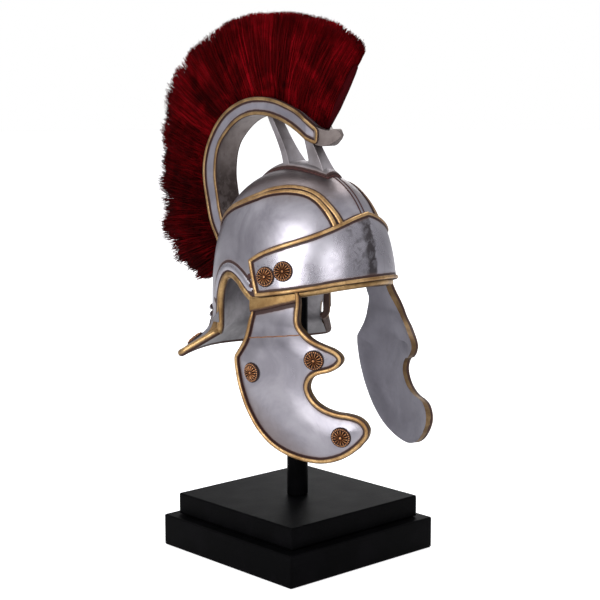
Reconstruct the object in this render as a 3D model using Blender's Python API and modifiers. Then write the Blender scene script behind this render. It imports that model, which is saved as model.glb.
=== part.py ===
"""A table-top roman legionary helmet with a crest of red hair, on a post and a two-step square base.

The helmet faces -Y and its wearer's right side is at -X. The origin is the middle of the underside of the base.
"""
import math

import bmesh
import bpy
from mathutils import Vector

# Stand
BASE_SIDE = 0.110
BASE_HEIGHT = 0.0182
STEP_SIDE = 0.0976
STEP_HEIGHT = 0.0125
EDGE_ROUNDING = 0.0009
POST_WIDTH = 0.012
POST_CLEARANCE = 0.0015

# Helmet bowl: its reach to the front and to the back is measured from CENTRE
FOOT = 0.130
BOWL_HEIGHT = 0.0903
CENTRE = -0.004
HALF_WIDTH = 0.0465
FRONT_REACH = 0.0589
BACK_REACH = 0.0542

# The tables were drawn for a bowl of these sizes, measured back from the post, up from FOOT and out from the middle
DRAWN_HEIGHT = 0.903
DRAWN_CENTRE = -0.040
DRAWN_HALF_WIDTH = 0.465
DRAWN_FRONT = 0.589
DRAWN_BACK = 0.542

WALL_POWER = 3.40
SIDE_FALL = 1.95
FRONT_FALL = 2.45
FRONT_SHAPE = 1.88
CROWN_SHAPE = 1.45
BACK_SHAPE = 2.12
WALL = 0.0036
BOWL_ROWS = 9

# Edges, plates and small pieces
GAP = 0.0003
RIM_RADIUS = 0.0019
BEAD_RADIUS = 0.00115
PLATE = 0.0016
PLATE_LIFT = 0.0005
BAND = 0.0010
RIB_RADIUS = 0.0006
ROSETTE_RADIUS = 0.0055
ROSETTE_STEPS = 12
CHEEK_WALL = 0.0028
HOLDER_HALF = 0.0075
LIP_FROM = -0.150
LIP_TAPER = 0.297
TRIM_EDGE = 0.0003
TRIM_WIDTH = 0.0022
TRIM = 0.0009
SADDLE_LIFT = 0.0004
PLUME_HALF = 0.0082
PLUME_LIFT = 0.0006
PLUME_STEPS = 2
SMOOTH_ANGLE = math.radians(40)

CROWN = FOOT + BOWL_HEIGHT
POST_TOP = CROWN - WALL - POST_CLEARANCE

# Finishes: colour, metallic value and roughness
SILVER = ((0.60, 0.58, 0.62), 0.9, 0.30)
GOLD = ((0.52, 0.34, 0.12), 0.9, 0.38)
COPPER = ((0.45, 0.20, 0.08), 0.8, 0.42)
BLACK = ((0.012, 0.012, 0.014), 0.0, 0.35)
RED = ((0.22, 0.008, 0.012), 0.0, 0.65)

# Rim of one side of the bowl, from the middle of the brow to the nape: turn in degrees, height
RIM = [
    (0, 0.324), (10, 0.322), (20, 0.316), (30, 0.306), (40, 0.290), (49, 0.275), (57, 0.261), (64, 0.249),
    (70, 0.239), (75, 0.232), (79, 0.226), (82, 0.242), (85.5, 0.268), (89.5, 0.299), (93, 0.322),
    (97, 0.339), (101, 0.342), (104.5, 0.333), (108, 0.312), (111, 0.276), (113.4, 0.230), (115, 0.180),
    (115.7, 0.125), (115.9, 0.070), (116, 0.025), (118, 0.000), (124, 0.000), (131, 0.000), (139, 0.000),
    (148, 0.000), (157, 0.000), (165, 0.000), (173, 0.000), (180, 0.000),
]

# Outer edge of the neck guard, from its front corner to the middle of the back: out, back, height
GUARD = [
    (0.556, 0.350, -0.113), (0.524, 0.394, -0.122), (0.472, 0.446, -0.130), (0.412, 0.497, -0.137),
    (0.345, 0.548, -0.142), (0.270, 0.598, -0.146), (0.185, 0.643, -0.149), (0.090, 0.680, -0.151),
    (0.000, 0.695, -0.152),
]

# Brow plate, as shares from its middle to its end: turn, height of the upper edge, height of the lower edge
BROW_END_UPPER = 79.5
BROW_END_LOWER = 74.5
BROW = [
    (0.00, 0.665, 0.328), (0.10, 0.658, 0.327), (0.20, 0.643, 0.323), (0.30, 0.620, 0.317),
    (0.42, 0.588, 0.306), (0.54, 0.556, 0.291), (0.66, 0.527, 0.276), (0.77, 0.500, 0.262),
    (0.88, 0.469, 0.250), (0.95, 0.443, 0.241), (1.00, 0.420, 0.237),
]

# Band on one side of the bowl: turn and height of its upper edge, turn and height of its lower edge
SIDE_BAND = [
    (22.6, 0.653, 32.4, 0.622), (24.8, 0.680, 34.0, 0.655), (29.0, 0.722, 37.0, 0.698),
    (34.5, 0.768, 41.5, 0.735), (42.0, 0.800, 47.0, 0.757), (51.5, 0.816, 54.5, 0.768),
    (62.0, 0.820, 64.0, 0.770), (74.0, 0.810, 75.0, 0.761), (88.0, 0.785, 87.0, 0.742),
    (102.0, 0.746, 101.0, 0.709), (118.0, 0.700, 118.0, 0.666), (131.0, 0.655, 131.0, 0.612),
    (144.0, 0.600, 144.0, 0.552), (156.0, 0.545, 156.0, 0.495), (166.0, 0.497, 166.0, 0.448),
]

# Cheek guard outline: back and height of the rear edge, back and height of the front edge
CHEEK = [
    (-0.132, 0.180, -0.410, 0.219), (-0.143, 0.140, -0.428, 0.160), (-0.134, 0.099, -0.446, 0.108),
    (-0.123, 0.058, -0.475, 0.068), (-0.112, 0.020, -0.522, 0.030), (-0.088, -0.027, -0.572, 0.003),
    (-0.056, -0.072, -0.625, -0.022), (-0.031, -0.106, -0.657, -0.052), (-0.028, -0.128, -0.662, -0.083),
    (-0.029, -0.150, -0.638, -0.120), (-0.033, -0.175, -0.598, -0.145), (-0.039, -0.203, -0.558, -0.156),
    (-0.047, -0.238, -0.528, -0.175), (-0.060, -0.280, -0.511, -0.200), (-0.078, -0.325, -0.504, -0.232),
    (-0.104, -0.380, -0.515, -0.266), (-0.142, -0.440, -0.548, -0.308), (-0.193, -0.503, -0.600, -0.338),
    (-0.269, -0.566, -0.661, -0.354), (-0.361, -0.610, -0.715, -0.358), (-0.470, -0.635, -0.765, -0.369),
    (-0.580, -0.637, -0.797, -0.390), (-0.680, -0.605, -0.814, -0.415), (-0.760, -0.545, -0.820, -0.440),
]
CHEEK_TIP = (-0.812, -0.478)
CHEEK_TOP = 0.28
CHEEK_FREE = 0.08
CHEEK_SINK = 0.0015

# Below CHEEK_FREE a cheek guard leaves the bowl: how far out it hangs here, and how it turns in ahead of here
CHEEK_HANG_BACK = -0.030
CHEEK_HANG_OUT = 0.482
CHEEK_HANG_SLOPE = 0.0835
CHEEK_HANG_BEND = 0.2885

# The upper lobe of a cheek guard curls in towards the face: back and height where it starts and is whole
LOBE_CURL = 0.0033
LOBE_BACK = (-0.50, -0.66)
LOBE_UP = (-0.26, -0.16)

# Crest holder seen from the side, from its lower rear end to its lip at the front
HOLDER_OUTER = [
    (0.515, 0.275), (0.570, 0.365), (0.622, 0.452), (0.679, 0.548), (0.711, 0.663), (0.737, 0.778),
    (0.741, 0.873), (0.722, 0.958), (0.688, 1.033), (0.628, 1.118), (0.546, 1.193), (0.448, 1.246),
    (0.337, 1.280), (0.229, 1.289), (0.122, 1.282), (0.017, 1.257), (-0.085, 1.220), (-0.160, 1.174),
    (-0.216, 1.132), (-0.284, 1.113), (-0.337, 1.121), (-0.369, 1.089),
]
HOLDER_INNER = [
    (0.508, 0.300), (0.500, 0.370), (0.496, 0.440), (0.529, 0.510), (0.562, 0.578), (0.586, 0.650),
    (0.601, 0.722), (0.617, 0.805), (0.616, 0.879), (0.603, 0.952), (0.573, 1.016), (0.523, 1.069),
    (0.466, 1.117), (0.386, 1.160), (0.292, 1.184), (0.199, 1.186), (0.123, 1.176), (0.033, 1.153),
    (-0.056, 1.116), (-0.129, 1.074), (-0.168, 1.050), (-0.242, 1.026), (-0.296, 1.034), (-0.350, 1.066),
]

# Tips of the plume seen from the side, at even steps along the holder from PLUME_FROM to PLUME_TO
PLUME_FROM = 0.045
PLUME_TO = 0.935
PLUME = [
    (0.865, 0.198), (0.995, 0.280), (1.110, 0.360), (1.140, 0.498), (1.152, 0.628), (1.165, 0.749),
    (1.150, 0.876), (1.140, 0.984), (1.138, 1.090), (1.118, 1.196), (1.075, 1.322), (1.020, 1.424),
    (0.915, 1.524), (0.800, 1.596), (0.662, 1.658), (0.528, 1.712), (0.390, 1.742), (0.236, 1.757),
    (0.042, 1.752), (-0.119, 1.727), (-0.262, 1.690), (-0.388, 1.636), (-0.482, 1.585), (-0.517, 1.538),
]

BROW_ROSETTES = [("rear", 69.2, 0.339), ("front", 58.9, 0.373)]
CHEEK_ROSETTES = [("rear", -0.154, -0.187), ("front", -0.533, -0.088), ("lower", -0.685, -0.487)]
NAPE_RIBS = [("upper", 0.100, 127), ("middle", 0.058, 127), ("lower", 0.018, 127)]
GUARD_ROSETTE_ALONG = 0.25
GUARD_ROSETTE_SHARE = 0.40
GUARD_ROSETTE_LIFT = 0.0008

# Saddle on the crown: back, half width and thickness
SADDLE = [
    (0.262, 0.058, 0.014), (0.205, 0.068, 0.022), (0.130, 0.076, 0.030), (0.050, 0.078, 0.034),
    (-0.040, 0.078, 0.034), (-0.120, 0.077, 0.034), (-0.200, 0.070, 0.032), (-0.260, 0.060, 0.026),
    (-0.305, 0.051, 0.016),
]

# The two prongs from the saddle to the crest holder, four corners each: back, height and half width
PRONGS = [
    [(-0.018, 0.922, 0.067), (0.035, 0.922, 0.067), (0.213, 1.178, 0.035), (0.172, 1.176, 0.035)],
    [(-0.285, 0.870, 0.050), (-0.158, 0.912, 0.060), (-0.083, 1.094, 0.034), (-0.150, 1.052, 0.032)],
]

for item in list(bpy.data.objects):
    bpy.data.objects.remove(item)
collection = bpy.data.collections.new("roman_legionary_helmet")
helpers = bpy.data.collections.new("helpers")
bpy.context.scene.collection.children.link(collection)
bpy.context.scene.collection.children.link(helpers)


def add(name, data, finish):
    """Puts a mesh or curve into the collection as one named piece with its own material."""
    colour, metallic, roughness = finish
    item = bpy.data.objects.new(name, data)
    collection.objects.link(item)
    material = bpy.data.materials.new(name)
    material.use_nodes = True
    shader = material.node_tree.nodes["Principled BSDF"]
    shader.inputs["Base Color"].default_value = (*colour, 1.0)
    shader.inputs["Metallic"].default_value = metallic
    shader.inputs["Roughness"].default_value = roughness
    data.materials.append(material)
    if item.type == "MESH":
        data.shade_smooth()
        data.set_sharp_from_angle(angle=SMOOTH_ANGLE)
    return item


def box(name, side, bottom, height, finish):
    """A square block with slightly rounded edges, centred on the post."""
    mesh = bpy.data.meshes.new(name)
    work = bmesh.new()
    bmesh.ops.create_cube(work, size=1.0)
    bmesh.ops.scale(work, vec=(side, side, height), verts=work.verts)
    bmesh.ops.translate(work, vec=(0, 0, bottom + height / 2), verts=work.verts)
    work.to_mesh(mesh)
    work.free()
    item = add(name, mesh, finish)
    bevel = item.modifiers.new("rounded edges", "BEVEL")
    bevel.width = EDGE_ROUNDING
    bevel.segments = 2
    return item


def cylinder(name, radius, bottom, top, finish):
    """An upright round bar on the post's line."""
    mesh = bpy.data.meshes.new(name)
    work = bmesh.new()
    bmesh.ops.create_cone(work, cap_ends=True, segments=32, radius1=radius, radius2=radius, depth=top - bottom)
    bmesh.ops.translate(work, vec=(0, 0, (top + bottom) / 2), verts=work.verts)
    work.to_mesh(mesh)
    work.free()
    return add(name, mesh, finish)


def up_at(drawn):
    """Height for a height in the tables."""
    return FOOT + drawn * BOWL_HEIGHT / DRAWN_HEIGHT


def drawn_up(height):
    """Height in the tables for a height."""
    return (height - FOOT) * DRAWN_HEIGHT / BOWL_HEIGHT


def out_at(drawn):
    """Distance from the middle of the helmet for one in the tables."""
    return drawn * HALF_WIDTH / DRAWN_HALF_WIDTH


def back_at(drawn):
    """Place along the helmet for one in the tables, by the bowl's reach on that side of its centre."""
    reach = FRONT_REACH / DRAWN_FRONT if drawn < DRAWN_CENTRE else BACK_REACH / DRAWN_BACK
    return CENTRE + (drawn - DRAWN_CENTRE) * reach


def drawn_back(back):
    """Place along the helmet in the tables for a real one."""
    reach = FRONT_REACH / DRAWN_FRONT if back < CENTRE else BACK_REACH / DRAWN_BACK
    return DRAWN_CENTRE + (back - CENTRE) / reach


def bowl_spot(turn, height):
    """Point on the outside of the bowl; turn is 0 at the brow, 90 at the wearer's right, 180 at the nape."""
    rise = min(max((height - FOOT) / (CROWN - FOOT), 0.0), 1.0)
    left = 1.0 - rise ** WALL_POWER
    side = left ** (1 / SIDE_FALL)
    across = math.sin(math.radians(turn))
    ahead = math.cos(math.radians(turn))
    shape = FRONT_SHAPE + (CROWN_SHAPE - FRONT_SHAPE) * rise ** 2 if ahead > 0 else BACK_SHAPE
    reach = FRONT_REACH * left ** (1 / FRONT_FALL) if ahead > 0 else BACK_REACH * side
    x = -math.copysign(HALF_WIDTH * side * abs(across) ** (2 / shape), across)
    y = CENTRE - math.copysign(reach * abs(ahead) ** (2 / shape), ahead)
    return Vector((x, y, height))


def bowl_normal(turn, height):
    """Direction that points straight out of the bowl at a spot."""
    height = min(height, CROWN - 0.001)
    up = bowl_spot(turn, height + 0.0005) - bowl_spot(turn, height - 0.0005)
    along = bowl_spot(turn + 0.5, height) - bowl_spot(turn - 0.5, height)
    return up.cross(along).normalized()


def on_bowl(turn, drawn, out=0.0):
    """Point above the bowl, with its height as in the tables."""
    height = up_at(drawn)
    return bowl_spot(turn, height) + bowl_normal(turn, height) * out


def bowl_height(x, y):
    """Height of the outside of the bowl over a point."""
    low = FOOT
    high = CROWN
    for _ in range(40):
        middle = (low + high) / 2
        rise = (middle - FOOT) / (CROWN - FOOT)
        left = 1.0 - rise ** WALL_POWER
        side = left ** (1 / SIDE_FALL)
        ahead = y < CENTRE
        shape = FRONT_SHAPE + (CROWN_SHAPE - FRONT_SHAPE) * rise ** 2 if ahead else BACK_SHAPE
        reach = FRONT_REACH * left ** (1 / FRONT_FALL) if ahead else BACK_REACH * side
        inside = (abs(x) / (HALF_WIDTH * side)) ** shape + (abs(y - CENTRE) / reach) ** shape < 1.0
        if inside:
            low = middle
        else:
            high = middle
    return low


def side_view(table):
    """Real side-view points for a table of back and height pairs."""
    return [(back_at(back), up_at(up)) for back, up in table]


def loft(name, rows, finish, closed=False, tip=None, flip=False):
    """Joins rows of points by four-sided faces into one open surface."""
    points = [point for row in rows for point in row]
    count = len(rows[0])
    faces = []
    last = count if closed else count - 1
    for row in range(len(rows) - 1):
        for column in range(last):
            a = row * count + column
            b = row * count + (column + 1) % count
            faces.append((a, a + count, b + count, b))
    if tip is not None:
        points.append(tip)
        for column in range(last):
            a = (len(rows) - 1) * count + column
            b = (len(rows) - 1) * count + (column + 1) % count
            faces.append((a, len(points) - 1, b))
    if flip:
        faces = [tuple(reversed(face)) for face in faces]
    mesh = bpy.data.meshes.new(name)
    mesh.from_pydata(points, [], faces)
    mesh.update()
    return add(name, mesh, finish)


def close_ends(item, count):
    """Closes both ends of a tube whose rows have their second half opposite their first."""
    work = bmesh.new()
    work.from_mesh(item.data)
    work.verts.ensure_lookup_table()
    for start_at in (0, len(work.verts) - count):
        corners = [work.verts[start_at + index] for index in range(count)]
        for index in range(count // 2 - 1):
            work.faces.new((corners[index], corners[index + 1], corners[count - 2 - index], corners[count - 1 - index]))
    bmesh.ops.recalc_face_normals(work, faces=work.faces)
    work.to_mesh(item.data)
    work.free()


def thicken(item, thickness, offset):
    """Gives an open surface its thickness, outward for offset 1 and inward for offset -1."""
    solid = item.modifiers.new("thickness", "SOLIDIFY")
    solid.thickness = thickness
    solid.offset = offset
    solid.use_quality_normals = True
    return item


def edge_path(item, beyond, lift):
    """Closed path beside the open edge of a surface: beyond it by one distance and above it by another."""
    mesh = item.data
    used = {}
    for face in mesh.polygons:
        corners = list(face.vertices)
        for index, corner in enumerate(corners):
            used[(corner, corners[(index + 1) % len(corners)])] = True
    follow = {a: b for a, b in used if (b, a) not in used}
    start_at = min(follow)
    loop = [start_at]
    while follow[loop[-1]] != start_at:
        loop.append(follow[loop[-1]])
    path = []
    for index, corner in enumerate(loop):
        before = mesh.vertices[loop[index - 1]].co
        here = mesh.vertices[corner].co
        after = mesh.vertices[loop[(index + 1) % len(loop)]].co
        arriving = (here - before).normalized()
        leaving = (after - here).normalized()
        normal = mesh.vertices[corner].normal
        out = (arriving + leaving).normalized().cross(normal).normalized()
        mitre = 1.0 / max(0.75, math.sqrt(max(0.0, (1.0 + arriving.dot(leaving)) / 2)))
        path.append(here + out * beyond * mitre + normal * lift)
    return path


def rod(name, path, radius, finish, closed=True):
    """A round bar that follows a path."""
    curve = bpy.data.curves.new(name, "CURVE")
    curve.dimensions = "3D"
    curve.bevel_depth = radius
    curve.bevel_resolution = 1
    curve.use_fill_caps = True
    spline = curve.splines.new("POLY")
    spline.points.add(len(path) - 1)
    for point, place in zip(spline.points, path):
        point.co = (*place, 1.0)
    spline.use_cyclic_u = closed
    return add(name, curve, finish)


def rosette(name, place, normal):
    """A low round flower with a raised middle, standing on a surface."""
    profile = [(1.00, 0.00), (1.00, 0.16), (0.86, 0.26), (0.72, 0.20), (0.42, 0.34), (0.00, 0.38)]
    points = [(0.0, 0.0, 0.0)]
    points += [(out * ROSETTE_RADIUS, 0.0, up * ROSETTE_RADIUS) for out, up in profile]
    mesh = bpy.data.meshes.new(name)
    mesh.from_pydata(points, [(index, index + 1) for index in range(len(points) - 1)], [])
    item = add(name, mesh, COPPER)
    turned = item.modifiers.new("turned", "SCREW")
    turned.steps = ROSETTE_STEPS
    turned.render_steps = ROSETTE_STEPS
    turned.use_merge_vertices = True
    turned.merge_threshold = 0.0001
    turned.use_normal_calculate = True
    item.location = place
    item.rotation_mode = "QUATERNION"
    item.rotation_quaternion = normal.to_track_quat("Z", "Y")
    return item


def make_stand():
    box("base_lower", BASE_SIDE, 0.0, BASE_HEIGHT, BLACK)
    step_bottom = BASE_HEIGHT + GAP
    box("base_upper", STEP_SIDE, step_bottom, STEP_HEIGHT, BLACK)
    cylinder("post", POST_WIDTH / 2, step_bottom + STEP_HEIGHT + GAP, POST_TOP, BLACK)


def guard_row(share):
    """Row of points across the neck guard, from its edge at 0 to the nape at 1, wearer's left side first."""
    nape = [on_bowl(turn, up) for turn, up in RIM[-len(GUARD):]]
    right = []
    for inner, (out, back, up) in zip(nape, GUARD):
        edge = Vector((-out_at(out), back_at(back), up_at(up)))
        place = edge.lerp(inner, share)
        right.append(place)
    left = [Vector((-place.x, place.y, place.z)) for place in right]
    return right + list(reversed(left))[1:]


def make_bowl():
    """The bowl and neck guard as one wall, and the gilt rim that runs all the way round its edge."""
    ring = [(-turn, up) for turn, up in reversed(RIM)] + RIM[1:-1]
    half = len(RIM) - 1
    top_turn = [-180.0 + 180.0 * index / half for index in range(len(ring))]
    rows = []
    for row in range(BOWL_ROWS):
        share = row / BOWL_ROWS
        points = []
        for (turn, up), far_turn in zip(ring, top_turn):
            low = max(0.0, (up_at(up) - FOOT) / BOWL_HEIGHT)
            start_climb = math.asin(low ** (WALL_POWER / 2))
            climb = start_climb + (math.pi / 2 - start_climb) * share
            height = FOOT + BOWL_HEIGHT * math.sin(climb) ** (2 / WALL_POWER)
            height = up_at(up) if row == 0 else height
            points.append(bowl_spot(turn + (far_turn - turn) * share, height))
        rows.append(points)
    bowl = loft("bowl", rows, SILVER, closed=True, tip=Vector((0, CENTRE, CROWN)))
    work = bmesh.new()
    work.from_mesh(bowl.data)
    guard_rows = [guard_row(share) for share in (0.0, 0.45, 0.85, 1.0)]
    placed = [[work.verts.new(place) for place in row] for row in guard_rows]
    for lower, upper in zip(placed, placed[1:]):
        for column in range(len(lower) - 1):
            work.faces.new((lower[column], upper[column], upper[column + 1], lower[column + 1]))
    bmesh.ops.remove_doubles(work, verts=work.verts, dist=0.00001)
    work.normal_update()
    work.to_mesh(bowl.data)
    work.free()
    rod("bowl_rim", edge_path(bowl, RIM_RADIUS + GAP, -WALL / 2), RIM_RADIUS, GOLD)
    thicken(bowl, WALL, -1)


def make_brow_plate():
    """The peaked plate over the brow with its gilt edge."""
    shares = [-row[0] for row in reversed(BROW)] + [row[0] for row in BROW[1:]]
    table = list(reversed(BROW)) + BROW[1:]
    trim = (BEAD_RADIUS + GAP) * DRAWN_HEIGHT / BOWL_HEIGHT
    rows = []
    for level in (0.0, 0.25, 0.5, 0.75, 1.0):
        row = []
        for share, (_, upper, lower) in zip(shares, table):
            turn = share * (BROW_END_LOWER + (BROW_END_UPPER - BROW_END_LOWER) * level)
            up = lower + trim + (upper - lower - 2 * trim) * level
            row.append(on_bowl(turn, up, PLATE_LIFT))
        rows.append(row)
    plate = loft("brow_plate", rows, SILVER)
    rod("brow_plate_rim", edge_path(plate, BEAD_RADIUS + GAP, BEAD_RADIUS), BEAD_RADIUS, GOLD)
    thicken(plate, PLATE, 1)
    for label, turn, up in BROW_ROSETTES:
        for side, sign in (("right", 1), ("left", -1)):
            place = on_bowl(sign * turn, up, PLATE_LIFT + PLATE + GAP)
            rosette(f"brow_rosette_{side}_{label}", place, bowl_normal(sign * turn, up_at(up)))


def make_side_bands():
    for side, sign in (("right", 1), ("left", -1)):
        rows = []
        for upper_turn, upper, lower_turn, lower in SIDE_BAND:
            row = []
            for share in (0.0, 0.5, 1.0):
                turn = lower_turn + (upper_turn - lower_turn) * share
                row.append(on_bowl(sign * turn, lower + (upper - lower) * share, PLATE_LIFT))
            rows.append(row)
        band = loft(f"side_band_{side}", rows, GOLD, flip=sign > 0)
        thicken(band, BAND, 1)


def make_nape():
    """Three low ribs across the nape and a rosette on each half of the neck guard."""
    for label, up, turn in NAPE_RIBS:
        steps = 20
        path = [on_bowl(turn + (360 - 2 * turn) * step / steps, up, RIB_RADIUS + PLATE_LIFT) for step in range(steps + 1)]
        rod(f"nape_rib_{label}", path, RIB_RADIUS, SILVER, closed=False)
    inner = guard_row(GUARD_ROSETTE_SHARE)
    outer = guard_row(0.0)
    column = round(GUARD_ROSETTE_ALONG * (len(GUARD) - 1))
    place = inner[column]
    slope = (outer[column] - place).normalized()
    along = (inner[column + 1] - inner[column - 1]).normalized()
    normal = along.cross(slope).normalized()
    normal = normal if normal.z > 0 else -normal
    for side, sign in (("right", 1), ("left", -1)):
        facing = Vector((normal.x * sign, normal.y, normal.z))
        spot = Vector((place.x * sign, place.y, place.z)) + facing * GUARD_ROSETTE_LIFT
        rosette(f"guard_rosette_{side}", spot, facing)


def part_way(value, start_at, end_at):
    """How far a value is from a start to an end, kept between 0 and 1."""
    return min(1.0, max(0.0, (value - start_at) / (end_at - start_at)))


def cheek_x(back, height):
    """Distance of a cheek guard's outer face from the middle of the helmet."""
    ahead = max(0.0, CENTRE - back) / FRONT_REACH
    top = HALF_WIDTH * max(0.0001, 1.0 - ahead ** FRONT_SHAPE) ** (1 / FRONT_SHAPE)
    run = CHEEK_HANG_BACK - drawn_back(back)
    free = out_at(CHEEK_HANG_OUT - CHEEK_HANG_SLOPE * run - CHEEK_HANG_BEND * run * run)
    up = drawn_up(height)
    share = part_way(up, CHEEK_TOP, CHEEK_FREE)
    curl = LOBE_CURL * part_way(drawn_back(back), *LOBE_BACK) * part_way(up, *LOBE_UP)
    return top - CHEEK_SINK + (free - top + CHEEK_SINK) * share - curl


def cheek_spot(back, height, sign):
    return Vector((-sign * cheek_x(back, height), back, height))


def cheek_normal(back, height, sign):
    up = cheek_spot(back, height + 0.0005, sign) - cheek_spot(back, height - 0.0005, sign)
    along = cheek_spot(back + 0.0005, height, sign) - cheek_spot(back - 0.0005, height, sign)
    return (up.cross(along) * sign).normalized()


def inset(outline, distance):
    """Moves each point of a closed side-view outline inward; the outline runs counterclockwise."""
    moved = []
    distances = distance if isinstance(distance, list) else [distance] * len(outline)
    for index, (here, distance) in enumerate(zip(outline, distances)):
        before = outline[index - 1]
        after = outline[(index + 1) % len(outline)]
        arriving = Vector((here[0] - before[0], here[1] - before[1])).normalized()
        leaving = Vector((after[0] - here[0], after[1] - here[1])).normalized()
        middle = (arriving + leaving).normalized()
        mitre = 1.0 / max(0.7, math.sqrt(max(0.0, (1.0 + arriving.dot(leaving)) / 2)))
        moved.append((here[0] - middle.y * distance * mitre, here[1] + middle.x * distance * mitre))
    return moved


def point_along(path, share):
    """Point at a share of the length of a side-view path."""
    lengths = [math.dist(a, b) for a, b in zip(path, path[1:])]
    left = share * sum(lengths)
    for (start_at, end_at), length in zip(zip(path, path[1:]), lengths):
        if left <= length:
            part = left / length
            return tuple(a + (b - a) * part for a, b in zip(start_at, end_at))
        left -= length
    return path[-1]


def make_cheek_guards():
    """Two curved guards that hang from the bowl, each with a gilt edge on its face and three rosettes."""
    rear = side_view([row[:2] for row in CHEEK])
    front = side_view([row[2:] for row in CHEEK])
    for side, sign in (("right", 1), ("left", -1)):
        rows = []
        for rear_edge, front_edge in zip(rear, front):
            row = []
            for step in range(7):
                share = step / 6
                back = rear_edge[0] + (front_edge[0] - rear_edge[0]) * share
                height = rear_edge[1] + (front_edge[1] - rear_edge[1]) * share
                row.append(cheek_spot(back, height, sign))
            rows.append(row)
        tip = cheek_spot(back_at(CHEEK_TIP[0]), up_at(CHEEK_TIP[1]), sign)
        guard = loft(f"cheek_guard_{side}", rows, SILVER, tip=tip, flip=sign < 0)
        rod(f"cheek_rim_{side}", edge_path(guard, -BEAD_RADIUS, BEAD_RADIUS + GAP), BEAD_RADIUS, GOLD)
        thicken(guard, CHEEK_WALL, -1)
        for label, back, up in CHEEK_ROSETTES:
            y = back_at(back)
            z = up_at(up)
            normal = cheek_normal(y, z, sign)
            rosette(f"cheek_rosette_{side}_{label}", cheek_spot(y, z, sign) + normal * GAP, normal)


def make_crest_fork():
    """The saddle on the crown with its two prongs, one casting."""
    rows = []
    for back, half, thickness in SADDLE:
        row = []
        y = back_at(back)
        for share in (-1.0, -0.5, 0.0, 0.5, 1.0):
            x = share * out_at(half)
            row.append(Vector((x, y, bowl_height(x, y) + SADDLE_LIFT)))
        for share in (0.92, 0.5, 0.0, -0.5, -0.92):
            x = share * out_at(half)
            top = thickness * BOWL_HEIGHT / DRAWN_HEIGHT
            row.append(Vector((x, y, bowl_height(x, y) + SADDLE_LIFT + top)))
        rows.append(row)
    saddle = loft("crest_fork", rows, SILVER, closed=True)
    close_ends(saddle, len(rows[0]))
    for number, corners in enumerate(PRONGS):
        points = [(sign * out_at(half), back_at(back), up_at(up)) for sign in (-1, 1) for back, up, half in corners]
        faces = [(0, 1, 2, 3), (7, 6, 5, 4), (0, 4, 5, 1), (1, 5, 6, 2), (2, 6, 7, 3), (3, 7, 4, 0)]
        mesh = bpy.data.meshes.new(f"prong_{number}")
        mesh.from_pydata(points, [], faces)
        work = bmesh.new()
        work.from_mesh(mesh)
        bmesh.ops.recalc_face_normals(work, faces=work.faces)
        work.to_mesh(mesh)
        work.free()
        prong = bpy.data.objects.new(f"prong_{number}", mesh)
        helpers.objects.link(prong)
        prong.hide_render = True
        prong.display_type = "WIRE"
        join = saddle.modifiers.new("prong", "BOOLEAN")
        join.operation = "UNION"
        join.solver = "EXACT"
        join.object = prong


def holder_half(back):
    """Half the width of the crest holder, which narrows to a lip at its front end."""
    return HOLDER_HALF - LIP_TAPER * max(0.0, back_at(LIP_FROM) - back)


def profile_solid(name, profile, finish):
    """The side-view outline of the crest holder given its width across the helmet."""
    points = [(sign * holder_half(y), y, z) for sign in (-1, 1) for y, z in profile]
    count = len(profile)
    faces = [tuple(range(count)), tuple(reversed(range(count, 2 * count)))]
    for index in range(count):
        after = (index + 1) % count
        faces.append((after, index, index + count, after + count))
    mesh = bpy.data.meshes.new(name)
    mesh.from_pydata(points, [], faces)
    work = bmesh.new()
    work.from_mesh(mesh)
    bmesh.ops.recalc_face_normals(work, faces=work.faces)
    bmesh.ops.triangulate(work, faces=[face for face in work.faces if len(face.verts) > 4])
    work.to_mesh(mesh)
    work.free()
    return add(name, mesh, finish)


def make_crest_holder():
    """The tall arch that carries the plume, with a gilt border on each side."""
    profile = side_view(HOLDER_OUTER + list(reversed(HOLDER_INNER)))
    profile_solid("crest_holder", profile, SILVER)
    near = inset(profile, TRIM_EDGE)
    depths = [TRIM_EDGE + TRIM_WIDTH * holder_half(back) / HOLDER_HALF for back, _ in profile]
    far = inset(profile, depths)
    for side, sign in (("right", -1), ("left", 1)):
        rows = []
        for pairs in list(zip(near, far))[1:-3]:
            rows.append([Vector((sign * (holder_half(y) + GAP), y, z)) for y, z in pairs])
        trim = loft(f"crest_trim_{side}", rows, GOLD, flip=sign < 0)
        thicken(trim, TRIM, 1)


def make_plume():
    """Hair that stands out from the holder as one fan; its tips rise and fall lock by lock."""
    roots = inset(side_view(HOLDER_OUTER), -PLUME_LIFT)
    tips = side_view(PLUME)
    steps = (len(tips) - 1) * PLUME_STEPS
    rows = []
    for step in range(steps + 1):
        place = step / PLUME_STEPS
        index = min(int(place), len(tips) - 2)
        share = place - index
        root_y, root_z = point_along(roots, PLUME_FROM + (PLUME_TO - PLUME_FROM) * step / steps)
        tip_y, tip_z = [a + (b - a) * share for a, b in zip(tips[index], tips[index + 1])]
        length = 1.02 - 0.03 * (step % 2) - 0.03 * ((step * 5) % 7) / 7
        narrow = min(1.0, 0.30 + 0.70 * (steps - step) / (6 * PLUME_STEPS), 0.6 + 0.4 * step / (3 * PLUME_STEPS))
        half = PLUME_HALF * narrow * (0.95 + 0.10 * (step % 2))
        section = []
        for along, width in ((0.0, 0.74), (0.3, 0.90), (0.65, 1.0), (0.9, 0.80), (1.0, 0.35)):
            y = root_y + (tip_y - root_y) * along * length
            z = root_z + (tip_z - root_z) * along * length
            section.append((y, z, half * width))
        row = [Vector((-half_here, y, z)) for y, z, half_here in section]
        row += [Vector((half_here, y, z)) for y, z, half_here in reversed(section)]
        rows.append(row)
    plume = loft("plume", rows, RED, closed=True)
    close_ends(plume, len(rows[0]))


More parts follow.
